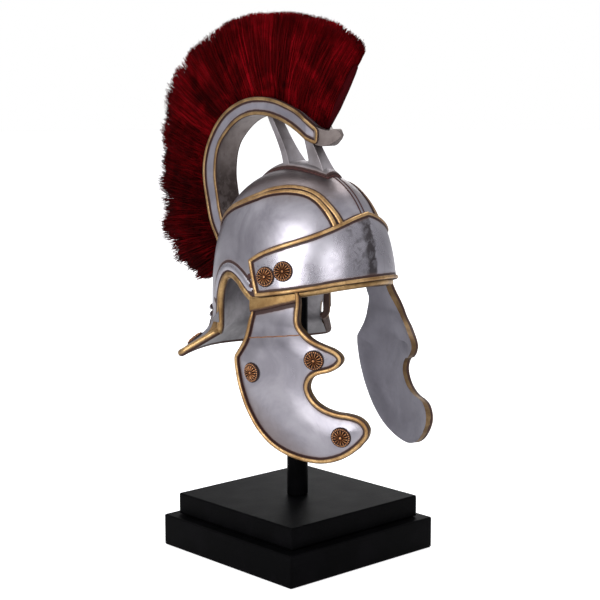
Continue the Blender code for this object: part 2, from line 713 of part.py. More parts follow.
make_stand()
make_bowl()
make_brow_plate()
make_side_bands()
make_nape()
make_cheek_guards()
make_crest_fork()
make_crest_holder()
make_plume()
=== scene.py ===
"""The look of a table-top roman legionary helmet with a crest of red hair, on its post and two-step base."""
import math

import bpy
import numpy as np
from mathutils import Matrix, Vector
from mathutils.kdtree import KDTree


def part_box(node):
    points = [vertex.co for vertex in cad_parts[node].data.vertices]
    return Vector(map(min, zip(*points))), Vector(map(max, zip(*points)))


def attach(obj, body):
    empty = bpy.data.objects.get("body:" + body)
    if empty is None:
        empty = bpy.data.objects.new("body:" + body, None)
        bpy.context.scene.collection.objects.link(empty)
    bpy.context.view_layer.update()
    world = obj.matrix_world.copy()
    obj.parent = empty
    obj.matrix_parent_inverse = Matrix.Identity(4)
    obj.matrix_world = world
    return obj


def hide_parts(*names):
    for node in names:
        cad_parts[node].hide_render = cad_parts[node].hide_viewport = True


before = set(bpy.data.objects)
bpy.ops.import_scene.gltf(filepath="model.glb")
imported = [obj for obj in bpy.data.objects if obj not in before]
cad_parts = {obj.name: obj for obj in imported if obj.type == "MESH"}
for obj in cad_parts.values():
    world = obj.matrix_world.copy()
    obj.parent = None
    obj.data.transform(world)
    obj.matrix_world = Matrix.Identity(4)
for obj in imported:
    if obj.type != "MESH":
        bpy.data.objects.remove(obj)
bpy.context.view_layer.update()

# Studio. A pale floor under an even white sky, with four large soft lamps: a tall one at the wearer's
# right, one before the face, one overhead and one behind. The silver shows them as bright patches.
FLOOR_RADIUS = 6.0
FLOOR_DROP = 0.0002
FLOOR_GLOW = 0.62
FLOOR_WHITES = ((0.90, 0.90, 0.91), (0.93, 0.93, 0.93))
SKY_GREYS = [(0.50, (0.33, 0.325, 0.345)), (0.80, (0.72, 0.72, 0.74))]
BLACK = (0.0, 0.0, 0.0)
WHITE = (1.0, 1.0, 1.0)
LAMPS = [
    ("lamp_side", (-1.15, -0.27, 0.58), 0.20, (0.46, 1.00), 8.2),
    ("lamp_face", (-0.78, -1.12, 0.46), 0.18, (0.55, 0.50), 2.6),
    ("lamp_high", (0.30, 0.20, 1.25), 0.22, (0.80, 0.60), 4.0),
    ("lamp_back", (0.95, 0.85, 0.70), 0.18, (0.50, 0.80), 2.5),
]
VIEW_TURN = math.radians(-42.46)
VIEW_RISE = math.radians(8.54)
VIEW_ROLL = math.radians(-0.10)
VIEW_DISTANCE = 0.8807
VIEW_TARGET = Vector((0.0022, 0.0, 0.1442))
VIEW_SENSOR = 36.0
VIEW_LENS = 92.82
VIEW_SHIFT = 0.1 / 600


def clear_choice():
    """Leaves nothing selected."""
    if bpy.context.object and bpy.context.object.mode != "OBJECT":
        bpy.ops.object.mode_set(mode="OBJECT")
    bpy.ops.object.select_all(action="DESELECT")


def choose(*items):
    """Selects these objects alone, the first one active."""
    clear_choice()
    for item in items:
        item.select_set(True)
    bpy.context.view_layer.objects.active = items[0]


def fresh(kind, **settings):
    """A new primitive, selected by itself."""
    clear_choice()
    getattr(bpy.ops.mesh, f"primitive_{kind}_add")(**settings)
    return bpy.context.object


class Value:
    """One output of a shader node, which can be used in sums as a number is."""

    def __init__(self, nodes, socket):
        self.nodes = nodes
        self.socket = socket

    def maths(self, operation, *inputs):
        return self.nodes.node("Math", 0, {"operation": operation}, dict(enumerate(inputs)))

    def __add__(self, other):
        return self.maths("ADD", self, other)

    def __radd__(self, other):
        return self.maths("ADD", other, self)

    def __sub__(self, other):
        return self.maths("SUBTRACT", self, other)

    def __rsub__(self, other):
        return self.maths("SUBTRACT", other, self)

    def __mul__(self, other):
        return self.maths("MULTIPLY", self, other)

    def __rmul__(self, other):
        return self.maths("MULTIPLY", other, self)

    def at_least(self, other):
        return self.maths("MAXIMUM", self, other)


class Nodes:
    """A tree of shader nodes that is put together in code."""

    def __init__(self, tree):
        self.tree = tree

    def node(self, kind, output, settings=None, inputs=None):
        """Adds a node, with its settings first and then the values or links of its sockets."""
        node = self.tree.nodes.new("ShaderNode" + kind)
        for key, value in (settings or {}).items():
            if key == "stops":
                ramp = node.color_ramp
                while len(ramp.elements) < len(value):
                    ramp.elements.new(0.5)
                for element, (position, colour) in zip(ramp.elements, value):
                    element.position = position
                    element.color = (*colour, 1.0)
            else:
                setattr(node, key, value)
        for key, value in (inputs or {}).items():
            self.feed(node.inputs[key], value)
        return Value(self, node.outputs[output]) if node.outputs else None

    def feed(self, socket, value):
        """Links a node's output to a socket, or sets the socket to a number or colour."""
        if isinstance(value, Value):
            self.tree.links.new(value.socket, socket)
        elif isinstance(value, tuple):
            socket.default_value = (*value, 1.0)
        else:
            socket.default_value = value


class Finish(Nodes):
    """The paint, leaf or lacquer on a piece."""

    def __init__(self, name):
        self.material = bpy.data.materials.new(name)
        self.material.use_nodes = True
        super().__init__(self.material.node_tree)
        self.shader = self.tree.nodes["Principled BSDF"]
        self.spot = self.node("TexCoord", "Object")

    def stretched(self, across, along, up):
        """The place on the piece with each direction squeezed by its own amount."""
        inputs = {"Vector": self.spot, "Scale": Vector((across, along, up))}
        return self.node("Mapping", 0, None, inputs)

    def speckle(self, scale, detail=3.0, rough=0.55, place=None, bend=0.0):
        """Soft cloudy pattern from 0 to 1; scale is in clouds per metre."""
        inputs = {"Vector": place or self.spot, "Scale": scale, "Detail": detail}
        return self.node("TexNoise", "Fac", None, {**inputs, "Roughness": rough, "Distortion": bend})

    def step(self, value, low, high):
        """Rises softly from 0 to 1 as a value goes from low to high."""
        settings = {"interpolation_type": "SMOOTHSTEP", "clamp": True}
        return self.node("MapRange", 0, settings, {"Value": value, "From Min": low, "From Max": high})

    def mix(self, share, first, second):
        """A colour between two colours."""
        return self.node("Mix", 2, {"data_type": "RGBA"}, {0: share, 6: first, 7: second})

    def axis(self, number):
        """The place on the piece along one axis, in metres."""
        return self.node("SeparateXYZ", number, None, {0: self.spot})

    def painted(self, name):
        """A number kept at the points of the mesh under this name."""
        return self.node("Attribute", "Fac", {"attribute_name": name})

    def bumps(self, height, depth, strength=1.0):
        """Relief of this depth in metres."""
        return self.node("Bump", 0, None, {"Height": height, "Distance": depth, "Strength": strength})

    def coat(self, **inputs):
        """Sets or links the shader's own sockets."""
        for key, value in inputs.items():
            self.feed(self.shader.inputs[key.replace("_", " ")], value)


floor = fresh("circle", vertices=96, radius=FLOOR_RADIUS, fill_type="NGON")
floor.name = "floor"
floor.location.z = -FLOOR_DROP
floor_paint = Finish("pale floor")
floor_paint.coat(
    Base_Color=floor_paint.mix(floor_paint.speckle(3.0), *FLOOR_WHITES),
    Roughness=0.9,
    Emission_Color=floor_paint.mix(floor_paint.node("LightPath", "Is Camera Ray"), BLACK, WHITE),
    Emission_Strength=FLOOR_GLOW,
)
floor.data.materials.append(floor_paint.material)

world = bpy.context.scene.world or bpy.data.worlds.new("sky")
bpy.context.scene.world = world
world.use_nodes = True
sky = Nodes(world.node_tree)
sky.tree.nodes.clear()
sky_up = sky.node("SeparateXYZ", "Z", None, {0: sky.node("TexCoord", "Generated")})
sky_rise = sky.node("MapRange", 0, None, {"Value": sky_up, "From Min": -1.0})
sky_grey = sky.node("ValToRGB", 0, {"stops": SKY_GREYS}, {"Fac": sky_rise})
sky_cast = sky.node("Background", 0, None, {"Color": sky_grey, "Strength": 1.0})
sky_seen = sky.node("Background", 0, None, {"Color": WHITE, "Strength": 1.0})
sky_ray = sky.node("LightPath", "Is Camera Ray")
sky_pick = sky.node("MixShader", 0, None, {0: sky_ray, 1: sky_cast, 2: sky_seen})
sky.node("OutputWorld", 0, None, {"Surface": sky_pick})

for name, place, aim_up, size, power in LAMPS:
    clear_choice()
    bpy.ops.object.light_add(type="AREA", location=place)
    lamp = bpy.context.object
    lamp.name = name
    lamp.data.shape = "RECTANGLE"
    lamp.data.size, lamp.data.size_y = size
    lamp.data.energy = power
    lamp.rotation_euler = (Vector(place) - Vector((0.0, 0.0, aim_up))).to_track_quat("Z", "Y").to_euler()

bpy.context.scene.view_settings.view_transform = "Standard"
bpy.context.scene.view_settings.look = "None"
camera_data = bpy.data.cameras.new("camera")
camera = bpy.data.objects.new("camera", camera_data)
bpy.context.scene.collection.objects.link(camera)
bpy.context.scene.camera = camera
camera_data.sensor_width = VIEW_SENSOR
camera_data.lens = VIEW_LENS
camera_data.shift_y = VIEW_SHIFT
view_back = Vector((
    math.sin(VIEW_TURN) * math.cos(VIEW_RISE),
    -math.cos(VIEW_TURN) * math.cos(VIEW_RISE),
    math.sin(VIEW_RISE),
))
camera.location = VIEW_TARGET + view_back * VIEW_DISTANCE
camera_turn = view_back.to_track_quat("Z", "Y").to_matrix() @ Matrix.Rotation(VIEW_ROLL, 3, "Z")
camera.rotation_euler = camera_turn.to_euler()

# Stand. Two square boards of lacquered wood, the upper one a step smaller, and a round black rod.
# The edges of the boards are eased by hand, and the lacquer is a thin satin black.
BOARD_EASE = 0.0010
EDGE_BREAK = 0.00008
BOARD_BLACK = (0.0010, 0.0010, 0.0012)
BOARD_WORN = (0.0024, 0.0022, 0.0028)
ROD_SIDES = 72
ROD_EASE = 0.0006


def work(piece, kind, **settings):
    """Puts one modifier on a piece and applies it."""
    choose(piece)
    modifier = piece.modifiers.new(kind.lower(), kind)
    for key, value in settings.items():
        setattr(modifier, key, value)
    bpy.ops.object.modifier_apply(modifier=modifier.name)


def edit(piece, *moves):
    """Does these edit mode operators, each given with its settings, to all of a piece."""
    choose(piece)
    bpy.ops.object.mode_set(mode="EDIT")
    bpy.ops.mesh.select_all(action="SELECT")
    for move, settings in moves:
        getattr(bpy.ops.mesh, move)(**settings)
    bpy.ops.object.mode_set(mode="OBJECT")


def settle(piece):
    """Takes a piece's own place, turn and size into its mesh."""
    choose(piece)
    bpy.ops.object.transform_apply(location=True, rotation=True, scale=True)


def shade(piece, angle):
    """Smooth shading, with the edges sharper than the angle left sharp."""
    choose(piece)
    bpy.ops.object.shade_smooth_by_angle(angle=math.radians(angle))
    return piece


def dress(piece, *finishes):
    """Gives a piece its finishes, in the order of its faces' numbers."""
    for finish in finishes:
        piece.data.materials.append(finish.material)


def fit(piece, name, slot, nodes, *finishes):
    """Names a finished piece, gives it its finishes and sets it in the place of its solids."""
    piece.name = name
    piece.data.name = name
    dress(piece, *finishes)
    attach(piece, "root")
    if nodes:
        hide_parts(*nodes)


lacquer = Finish("black satin lacquer")
lacquer_cloud = lacquer.speckle(60.0, 4.0)
lacquer_grain = lacquer.speckle(90.0, 6.0, 0.6, lacquer.stretched(1.0, 9.0, 9.0))
lacquer.coat(
    Base_Color=lacquer.mix(lacquer.step(lacquer_cloud, 0.42, 0.72), BOARD_BLACK, BOARD_WORN),
    Roughness=0.44 + lacquer_cloud * 0.14,
    Normal=lacquer.bumps(lacquer_grain + lacquer_cloud * 0.5, 0.00012, 0.5),
    Specular_IOR_Level=0.03,
)

for board in ("base_lower", "base_upper"):
    low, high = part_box(board)
    piece = fresh("cube", size=1.0, location=(low + high) / 2)
    piece.scale = high - low
    settle(piece)
    work(piece, "BEVEL", width=BOARD_EASE, segments=5, profile=0.5)
    edit(piece, ("bevel", {"offset": EDGE_BREAK, "segments": 1}))
    fit(shade(piece, 30.0), f"{board}_board", "stand", [board], lacquer)

low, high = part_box("post")
radius = (high.x - low.x) / 2
rod = fresh("cylinder", vertices=ROD_SIDES, radius=radius, depth=high.z - low.z, location=(low + high) / 2)
settle(rod)
work(rod, "BEVEL", width=ROD_EASE, segments=3, limit_method="ANGLE")
fit(shade(rod, 30.0), "post_rod", "stand", ["post"], lacquer)

# Bowl. The skull and the neck guard are one resin casting with silver leaf over it, rubbed bright on
# the high places, and brown wash left in the low ones. The inside is dull, crinkled leaf.
FOOT = 0.130
BOWL_HEIGHT = 0.0903
CENTRE = -0.004
HALF_WIDTH = 0.0465
FRONT_REACH = 0.0589
BACK_REACH = 0.0542
WALL_POWER = 3.40
SIDE_FALL = 1.95
FRONT_FALL = 2.45
FRONT_SHAPE = 1.88
CROWN_SHAPE = 1.45
BACK_SHAPE = 2.12
WALL = 0.0036
UNIT = 0.100
BOWL_STEPS = 7
BOWL_ROWS = 84
INSIDE = (0.0, -0.004, 0.150)
UNDER_GUARD = (0.0, 0.0, 0.06)
SEAM_MERGE = 0.00002
NAPE_SOFT_UP = 0.0042
NAPE_SOFT_FROM = 0.021
# The bowl's lower edge from brow to nape: turn in degrees, and height above the foot. Heights and other
# lengths in the tables are in units of 100 mm. The last eight steps cross the nape, level with the foot.
RIM = [
    (0, 0.324), (10, 0.322), (20, 0.316), (30, 0.306), (40, 0.290), (49, 0.275), (57, 0.261), (64, 0.249),
    (70, 0.239), (75, 0.232), (79, 0.226), (82, 0.242), (85.5, 0.268), (89.5, 0.299), (93, 0.322),
    (97, 0.339), (101, 0.342), (104.5, 0.333), (108, 0.312), (111, 0.276), (113.4, 0.230), (115, 0.180),
    (115.7, 0.125), (115.9, 0.070), (116, 0.025), (118, 0.000), (124, 0.000), (131, 0.000), (139, 0.000),
    (148, 0.000), (157, 0.000), (165, 0.000), (173, 0.000), (180, 0.000),
]
NAPE_STEPS = 8 * BOWL_STEPS
# Half of the neck guard's edge, from its corner to the middle: out, back and up from the foot.
GUARD = [
    (0.556, 0.350, -0.113), (0.524, 0.394, -0.122), (0.472, 0.446, -0.130), (0.412, 0.497, -0.137),
    (0.345, 0.548, -0.142), (0.270, 0.598, -0.146), (0.185, 0.643, -0.149), (0.090, 0.680, -0.151),
    (0.000, 0.695, -0.152),
]
RIM_RADIUS = 0.0021
BEAD_RADIUS = 0.00125
RIM_CORNERS = 16
WASH_REACH = 0.003
MERGE = 0.000004
MIRROR = (-1, 1, 1)


def smooth_line(points, steps):
    """More points along a line, on a smooth curve through the ones given."""
    points = np.array(points, float)
    long = np.vstack([2 * points[0] - points[1], points, 2 * points[-1] - points[-2]])[:, None, :]
    before, start, after, last = long[:-3], long[1:-2], long[2:-1], long[3:]
    share = (np.arange(steps) / steps)[None, :, None]
    line = 0.5 * (2 * start + (after - before) * share
                  + (2 * before - 5 * start + 4 * after - last) * share ** 2
                  + (3 * start - before - 3 * after + last) * share ** 3)
    return np.vstack([line.reshape(-1, points.shape[1]), points[-1]])


def unit(rows):
    """Each row as a direction of length one."""
    return rows / np.maximum(np.linalg.norm(rows, axis=-1, keepdims=True), 1e-12)


def ease(value, low, high):
    """Goes softly from 0 at low to 1 at high."""
    share = np.clip((value - low) / (high - low), 0.0, 1.0)
    return share * share * (3 - 2 * share)


def bowl_outline(height, front, least=0.0):
    """Half the bowl's width at a height, its reach ahead or back, and the power of its curve."""
    rise = np.clip((height - FOOT) / BOWL_HEIGHT, 0.0, 1.0)
    left = np.maximum(1.0 - rise ** WALL_POWER, least)
    side = left ** (1 / SIDE_FALL)
    shape = np.where(front, FRONT_SHAPE + (CROWN_SHAPE - FRONT_SHAPE) * rise ** 2, BACK_SHAPE)
    reach = np.where(front, FRONT_REACH * left ** (1 / FRONT_FALL), BACK_REACH * side)
    return HALF_WIDTH * side, reach, shape


def bowl_spot(turn, height):
    """Points on the outside of the bowl; turn is 0 at the brow, 90 at the wearer's right, 180 at the nape."""
    turn, height = np.broadcast_arrays(np.array(turn, float), np.array(height, float))
    across = np.sin(np.radians(turn))
    ahead = np.cos(np.radians(turn))
    half_width, reach, shape = bowl_outline(height, ahead > 0)
    x = -half_width * np.sign(across) * np.abs(across) ** (2 / shape)
    y = CENTRE - reach * np.sign(ahead) * np.abs(ahead) ** (2 / shape)
    return np.stack([x, y, height], -1)


def bowl_normal(turn, height):
    """Directions straight out of the bowl."""
    height = np.minimum(height, FOOT + BOWL_HEIGHT - 0.001)
    up = bowl_spot(turn, height + 0.0005) - bowl_spot(turn, height - 0.0005)
    along = bowl_spot(np.add(turn, 0.5), height) - bowl_spot(np.subtract(turn, 0.5), height)
    return unit(np.cross(up, along))


def bowl_facing(turn, share):
    """Directions straight out of the bowl, with heights in units above its foot."""
    return bowl_normal(turn, FOOT + np.array(share, float) * UNIT)


def on_bowl(turn, share, out=0.0):
    """Points above the bowl, with heights in units above its foot."""
    height = FOOT + np.array(share, float) * UNIT
    return bowl_spot(turn, height) + bowl_normal(turn, height) * out


def bowl_height(x, y):
    """Height of the outside of the bowl over points."""
    low = np.full(np.shape(x), FOOT)
    high = np.full(np.shape(x), FOOT + BOWL_HEIGHT)
    for _ in range(40):
        middle = (low + high) / 2
        half_width, reach, shape = bowl_outline(middle, y < CENTRE, 1e-9)
        within = (np.abs(x) / half_width) ** shape + (np.abs(y - CENTRE) / reach) ** shape < 1
        low = np.where(within, middle, low)
        high = np.where(within, high, middle)
    return low


def mark_points(mesh, name, values):
    """Keeps a number at each point of a mesh, which its finish reads."""
    mark = mesh.attributes.get(name) or mesh.attributes.new(name, "FLOAT", "POINT")
    mark.data.foreach_set("value", np.ascontiguousarray(values, np.float32).ravel())


def sheet(grid, inside=None, wash=None):
    """A grid primitive whose points are moved to their places, facing away from a point inside."""
    rows, columns = grid.shape[:2]
    piece = fresh("grid", x_subdivisions=columns - 1, y_subdivisions=rows - 1, size=1.0)
    piece.data.vertices.foreach_set("co", np.ascontiguousarray(grid, np.float32).ravel())
    if wash is not None:
        mark_points(piece.data, "wash", wash)
    piece.data.update()
    merge = ("remove_doubles", {"threshold": MERGE})
    if inside is None:
        edit(piece, merge, ("fill_holes", {"sides": 0}), ("normals_make_consistent", {"inside": False}))
        return piece
    edit(piece, merge)
    faces = piece.data.polygons
    if sum(face.normal.dot(face.center - Vector(inside)) * face.area for face in faces) < 0:
        piece.data.flip_normals()
    return piece


def moulding(path, normals, section, closed=False, thin=None, wash=None):
    """A bead or strip: a closed section of sideways and lift distances swept along a path on a surface."""
    path = np.array(path, float)
    normals = np.broadcast_to(np.array(normals, float), path.shape)
    if closed:
        arriving = unit(path - np.roll(path, 1, 0))
        leaving = unit(np.roll(path, -1, 0) - path)
    else:
        steps = unit(np.diff(path, axis=0))
        arriving = np.vstack([steps[:1], steps])
        leaving = np.vstack([steps, steps[-1:]])
    along = unit(arriving + leaving)
    side = unit(np.cross(along, normals))
    up = unit(np.cross(side, along))
    mitre = 1.0 / np.clip(np.sum(arriving * along, axis=1), 0.72, 1.0)
    section = np.array(section, float)
    size = np.ones(len(path)) if thin is None else np.array(thin, float)
    grid = (path[:, None] + side[:, None] * section[None, :, :1] * (mitre * size)[:, None, None]
            + up[:, None] * section[None, :, 1:] * size[:, None, None])
    if wash is None:
        lift = section[:, 1]
        wash = np.clip((0.96 - (lift - lift.min()) / (lift.max() - lift.min())) / 0.30, 0.0, 1.0)
    wash = np.tile(wash, (len(path), 1))
    if closed:
        grid = np.concatenate([grid, grid[:1]])
        wash = np.concatenate([wash, wash[:1]])
    grid = np.concatenate([grid, grid[:, :1]], axis=1)
    wash = np.concatenate([wash, wash[:, :1]], axis=1)
    return sheet(grid, wash=wash)


def round_bar(radius, tall, corners=18):
    """Section of a round or oval bead."""
    turns = np.arange(corners) * 2 * math.pi / corners
    return np.stack([np.cos(turns) * radius, np.sin(turns) * radius * tall], 1)


def low_strip(half, height):
    """Section of a flat strip with soft edges."""
    return np.array([(-half, -height), (-half, height * 0.3), (-half * 0.72, height), (half * 0.72, height),
                     (half, height * 0.3), (half, -height)])


def tree_of(points):
    """A tree that finds the nearest of these points, which may be places in the side view alone."""
    tree = KDTree(len(points))
    for index, spot in enumerate(points):
        tree.insert(Vector((0.0, *spot) if len(spot) == 2 else spot), index)
    tree.balance()
    return tree


def stain(piece, lines):
    """Marks how near each point of a piece lies to beads: 1 at a bead's foot and 0 at the wash's reach."""
    nearest = np.full(len(piece.data.vertices), 1.0)
    for path, radius in lines:
        tree = tree_of(path)
        for index, point in enumerate(piece.data.vertices):
            nearest[index] = min(nearest[index], tree.find(point.co)[2] - radius)
    mark_points(piece.data, "wash", np.clip(1.0 - nearest / WASH_REACH, 0.0, 1.0))


def join(first, *others):
    """Makes one piece of several."""
    choose(first, *others)
    bpy.ops.object.join()
    return first


def dense(path, closed=False, gap=0.0004):
    """The same path with a point at every small gap."""
    path = np.array(path, float)
    if closed:
        path = np.vstack([path, path[:1]])
    length = np.concatenate([[0.0], np.cumsum(np.linalg.norm(np.diff(path, axis=0), axis=1))])
    places = np.linspace(0.0, length[-1], max(2, int(length[-1] / gap)))
    line = np.stack([np.interp(places, length, path[:, axis]) for axis in range(path.shape[1])], 1)
    return line[:-1] if closed else line


def rounded(path, turns, closed=True):
    """The same path with its corners rubbed round."""
    for _ in range(turns):
        middle = (np.roll(path, 1, 0) + 2 * path + np.roll(path, -1, 0)) / 4
        if not closed:
            middle[0], middle[-1] = path[0], path[-1]
        path = middle
    return path


GLAZE_BROWN = (0.20, 0.115, 0.085)
WASH_BROWN = (0.030, 0.0075, 0.0055)


def silver_leaf(name, pale, grey, brown, gloss, dull=0.0, washed=1.0, tarnish_and_painted_shade=None):
    """Antiqued silver leaf: soft grey clouds, small creases, brown wash by the beads, and darker patches by
    place: tarnished leaf on the crown, painted shade and a painted dark reflection elsewhere.
    """
    leaf = Finish(name)
    cloud = leaf.speckle(38.0, 5.0, 0.58, bend=0.6)
    mottle = leaf.speckle(210.0, 4.0, 0.62, bend=0.4)
    dust = leaf.speckle(1500.0, 3.0, 0.6)
    drag = leaf.speckle(130.0, 5.0, 0.65, leaf.stretched(1.0, 1.0, 0.22), 1.2)
    wash = leaf.painted("wash") * washed
    ragged = wash + (mottle - 0.5) * 0.16 + (dust - 0.5) * 0.06
    line = leaf.step(ragged, 0.60, 0.76)
    glaze = leaf.step(wash + (mottle - 0.5) * 0.5, 0.20, 0.90)
    base = leaf.mix(leaf.step(cloud, 0.32, 0.70), grey, pale)
    base = leaf.mix(leaf.step(mottle, 0.50, 0.78) * (0.16 + dull), base, grey)
    base = leaf.mix(leaf.step(drag, 0.60, 0.72) * (0.16 + dull), base, brown)
    base = leaf.mix(leaf.step(dust, 0.62, 0.80) * (0.10 + dull), base, grey)
    # A darkening by place mixes in the third colour: tarnished leaf on the crown, painted shade on the cheek
    # guards, a painted dark reflection by the brow plate's peak, and a darker patch low in the crest holder's
    # hollow.
    if tarnish_and_painted_shade:
        base = leaf.mix(tarnish_and_painted_shade(leaf, cloud, mottle), base, brown)
    base = leaf.mix(glaze * 0.42, base, GLAZE_BROWN)
    base = leaf.mix(line, base, WASH_BROWN)
    leaf.coat(
        Base_Color=base,
        Metallic=0.94 - line * 0.85 - glaze * 0.25,
        Roughness=gloss + cloud * 0.10 + leaf.step(mottle, 0.45, 0.8) * 0.10 + line * 0.25,
        Normal=leaf.bumps(cloud * 0.38 + drag * 0.14 + mottle * 0.09 + dust * 0.012, 0.0006, 0.45),
    )
    return leaf


def gilt(name, bright, deep, dark, gloss=0.34, washed=1.0):
    """Antique gold paint, rubbed on the tops of the beads and dark brown beside them."""
    gold = Finish(name)
    cloud = gold.speckle(90.0, 4.0, 0.6)
    fleck = gold.speckle(620.0, 4.0, 0.62, bend=0.5)
    wash = gold.painted("wash") * washed + (fleck - 0.5) * 0.25 + (cloud - 0.5) * 0.30
    low = gold.step(wash, 0.20, 0.62)
    base = gold.mix(gold.step(cloud, 0.35, 0.68), deep, bright)
    base = gold.mix(gold.step(fleck, 0.52, 0.70) * 0.65, base, deep)
    base = gold.mix(gold.step(fleck, 0.70, 0.82) * 0.5, base, dark)
    base = gold.mix(low, base, dark)
    gold.coat(
        Base_Color=base,
        Metallic=0.90 - low * 0.72,
        Roughness=gloss + fleck * 0.16 + low * 0.2,
        Normal=gold.bumps(fleck * 0.5 + cloud, 0.00022, 0.6),
    )
    return gold


def paint(name, colour, other, rough, metal=0.0):
    """A thin line of dark paint, uneven in depth."""
    line = Finish(name)
    cloud = line.speckle(500.0, 4.0)
    line.coat(
        Base_Color=line.mix(line.step(cloud, 0.35, 0.7), colour, other),
        Roughness=rough + cloud * 0.2,
        Metallic=metal,
        Normal=line.bumps(cloud, 0.0001, 0.5),
    )
    return line


def crown_tarnish(leaf, cloud, mottle):
    """The crown between the side bands is browner than the rest of the bowl."""
    high = leaf.step(leaf.axis(2) + (mottle - 0.5) * 0.006, 0.199, 0.211)
    return high * (0.35 + cloud * 0.55)


def peak_dark_reflection(leaf, cloud, mottle):
    """Painted dark reflection on one side of the brow plate's peak: a dark streak, with dark crumpled patches
    beside it.
    """
    aside = leaf.axis(0) + (mottle - 0.5) * 0.006
    up = leaf.axis(2)
    streak = leaf.step(aside, 0.0004, -0.0008) * leaf.step(aside, -0.0085, -0.0040)
    streak = streak * leaf.step(up, 0.152, 0.166)
    crumple = leaf.step(aside, 0.0, -0.004) * leaf.step(aside, -0.0190, -0.0120)
    crumple = crumple * leaf.step(mottle * 0.7 + cloud * 0.3, 0.46, 0.58) * 0.55 * leaf.step(up, 0.160, 0.172)
    return (streak * (0.62 + leaf.step(mottle, 0.42, 0.56) * 0.35)).at_least(crumple)


def cheek_lower_shade(leaf, cloud, mottle):
    """Painted shade: the lower back of each cheek guard is made browner and darker than the rest."""
    low = leaf.axis(1) * 0.7 - leaf.axis(2) + (mottle - 0.5) * 0.006
    return leaf.step(low, -0.116, -0.097) * (0.42 + cloud * 0.35)


leaf_bowl = silver_leaf("silver leaf, bowl", (0.45, 0.432, 0.475), (0.27, 0.256, 0.292),
                        (0.17, 0.128, 0.112), 0.27, tarnish_and_painted_shade=crown_tarnish)
leaf_inside = silver_leaf("silver leaf, inside", (0.33, 0.315, 0.33), (0.15, 0.143, 0.15),
                          (0.07, 0.055, 0.050), 0.36, 0.12, 0.0)
gold_rim = gilt("antique gold, rim", (0.50, 0.325, 0.145), (0.22, 0.125, 0.048), (0.045, 0.016, 0.009), 0.30)
# The wall edges get a darker copy of the bead gold, with no wash: its dark tones are painted shade on the
# edges.
gold_edge_shaded = gilt("antique gold, wall edges", (0.24, 0.155, 0.075), (0.12, 0.072, 0.036),
                 (0.040, 0.018, 0.010), 0.45, 0.0)
gold_bead = gilt("antique gold, beads", (0.58, 0.375, 0.175), (0.27, 0.15, 0.060),
                 (0.036, 0.010, 0.006), 0.30)
red_line = paint("dark red line", (0.030, 0.006, 0.005), (0.062, 0.012, 0.009), 0.6)

fine = smooth_line(RIM, BOWL_STEPS)
fine[:, 0] = np.clip(fine[:, 0], 0.0, 180.0)
fine[-NAPE_STEPS - 1:, 1] = 0.0
ring = np.vstack([(fine * (-1, 1))[::-1], fine[1:]])
half = len(fine) - 1
top_turn = -180.0 + 180.0 * np.arange(len(ring)) / half
share = (np.arange(BOWL_ROWS + 1) / BOWL_ROWS)[:, None]
start_climb = np.arcsin(np.clip(ring[None, :, 1] * UNIT / BOWL_HEIGHT, 0.0, 1.0) ** (WALL_POWER / 2))
climb = start_climb + (math.pi / 2 - start_climb) * share
bowl_heights = FOOT + BOWL_HEIGHT * np.sin(climb) ** (2 / WALL_POWER)
bowl_heights[0] = FOOT + ring[:, 1] * UNIT
bowl_turns = ring[None, :, 0] + (top_turn - ring[:, 0])[None] * share
bowl = sheet(bowl_spot(bowl_turns, bowl_heights), INSIDE)

nape_line = on_bowl(*fine[-NAPE_STEPS - 1:].T)
guard_line = smooth_line(GUARD, BOWL_STEPS) * MIRROR * UNIT + (0.0, 0.0, FOOT)
guard_rows = []
for share in np.linspace(0.0, 1.0, 19):
    row = guard_line + (nape_line - guard_line) * share
    guard_rows.append(np.vstack([row, (row * MIRROR)[::-1][1:]]))
guard = sheet(np.array(guard_rows), UNDER_GUARD)
join(bowl, guard)
edit(bowl, ("remove_doubles", {"threshold": SEAM_MERGE}), ("select_all", {"action": "DESELECT"}))
for point in bowl.data.vertices:
    point.select = abs(point.co.z - FOOT) < NAPE_SOFT_UP and point.co.y > NAPE_SOFT_FROM
bpy.ops.object.mode_set(mode="EDIT")
bpy.ops.mesh.vertices_smooth(factor=0.5, repeat=24)
bpy.ops.object.mode_set(mode="OBJECT")

guard_side = [nape_line[0] + (guard_line[0] - nape_line[0]) * share for share in np.linspace(0.08, 1.0, 14)]
head_line = on_bowl(*fine[:-NAPE_STEPS].T)
head_normal = bowl_facing(*fine[:-NAPE_STEPS].T)
guard_up = unit(np.cross(guard_rows[0][2:len(guard_line)] - guard_rows[0][:len(guard_line) - 2],
                         (nape_line - guard_line)[1:-1]))
guard_up = np.vstack([guard_up[:1], guard_up, guard_up[-1:]])
guard_up *= np.sign(guard_up[:, 2:])
edge_right = np.vstack([head_line, guard_side, guard_line[1:]])
edge_normals = np.vstack([head_normal, np.repeat(guard_up[:1], len(guard_side), 0), guard_up[1:]])
edge_line = np.vstack([(edge_right * MIRROR)[::-1][:-1], edge_right[:-1]])
edge_normals = np.vstack([(edge_normals * MIRROR)[::-1][:-1], edge_normals[:-1]])
edge_along = unit(np.roll(edge_line, -1, 0) - np.roll(edge_line, 1, 0))
edge_out = unit(np.cross(edge_normals, edge_along))
rim_line = edge_line + edge_out * RIM_RADIUS * 0.75 - edge_normals * WALL / 2
both = dense(np.hstack([rim_line, edge_normals]), closed=True, gap=0.0007)
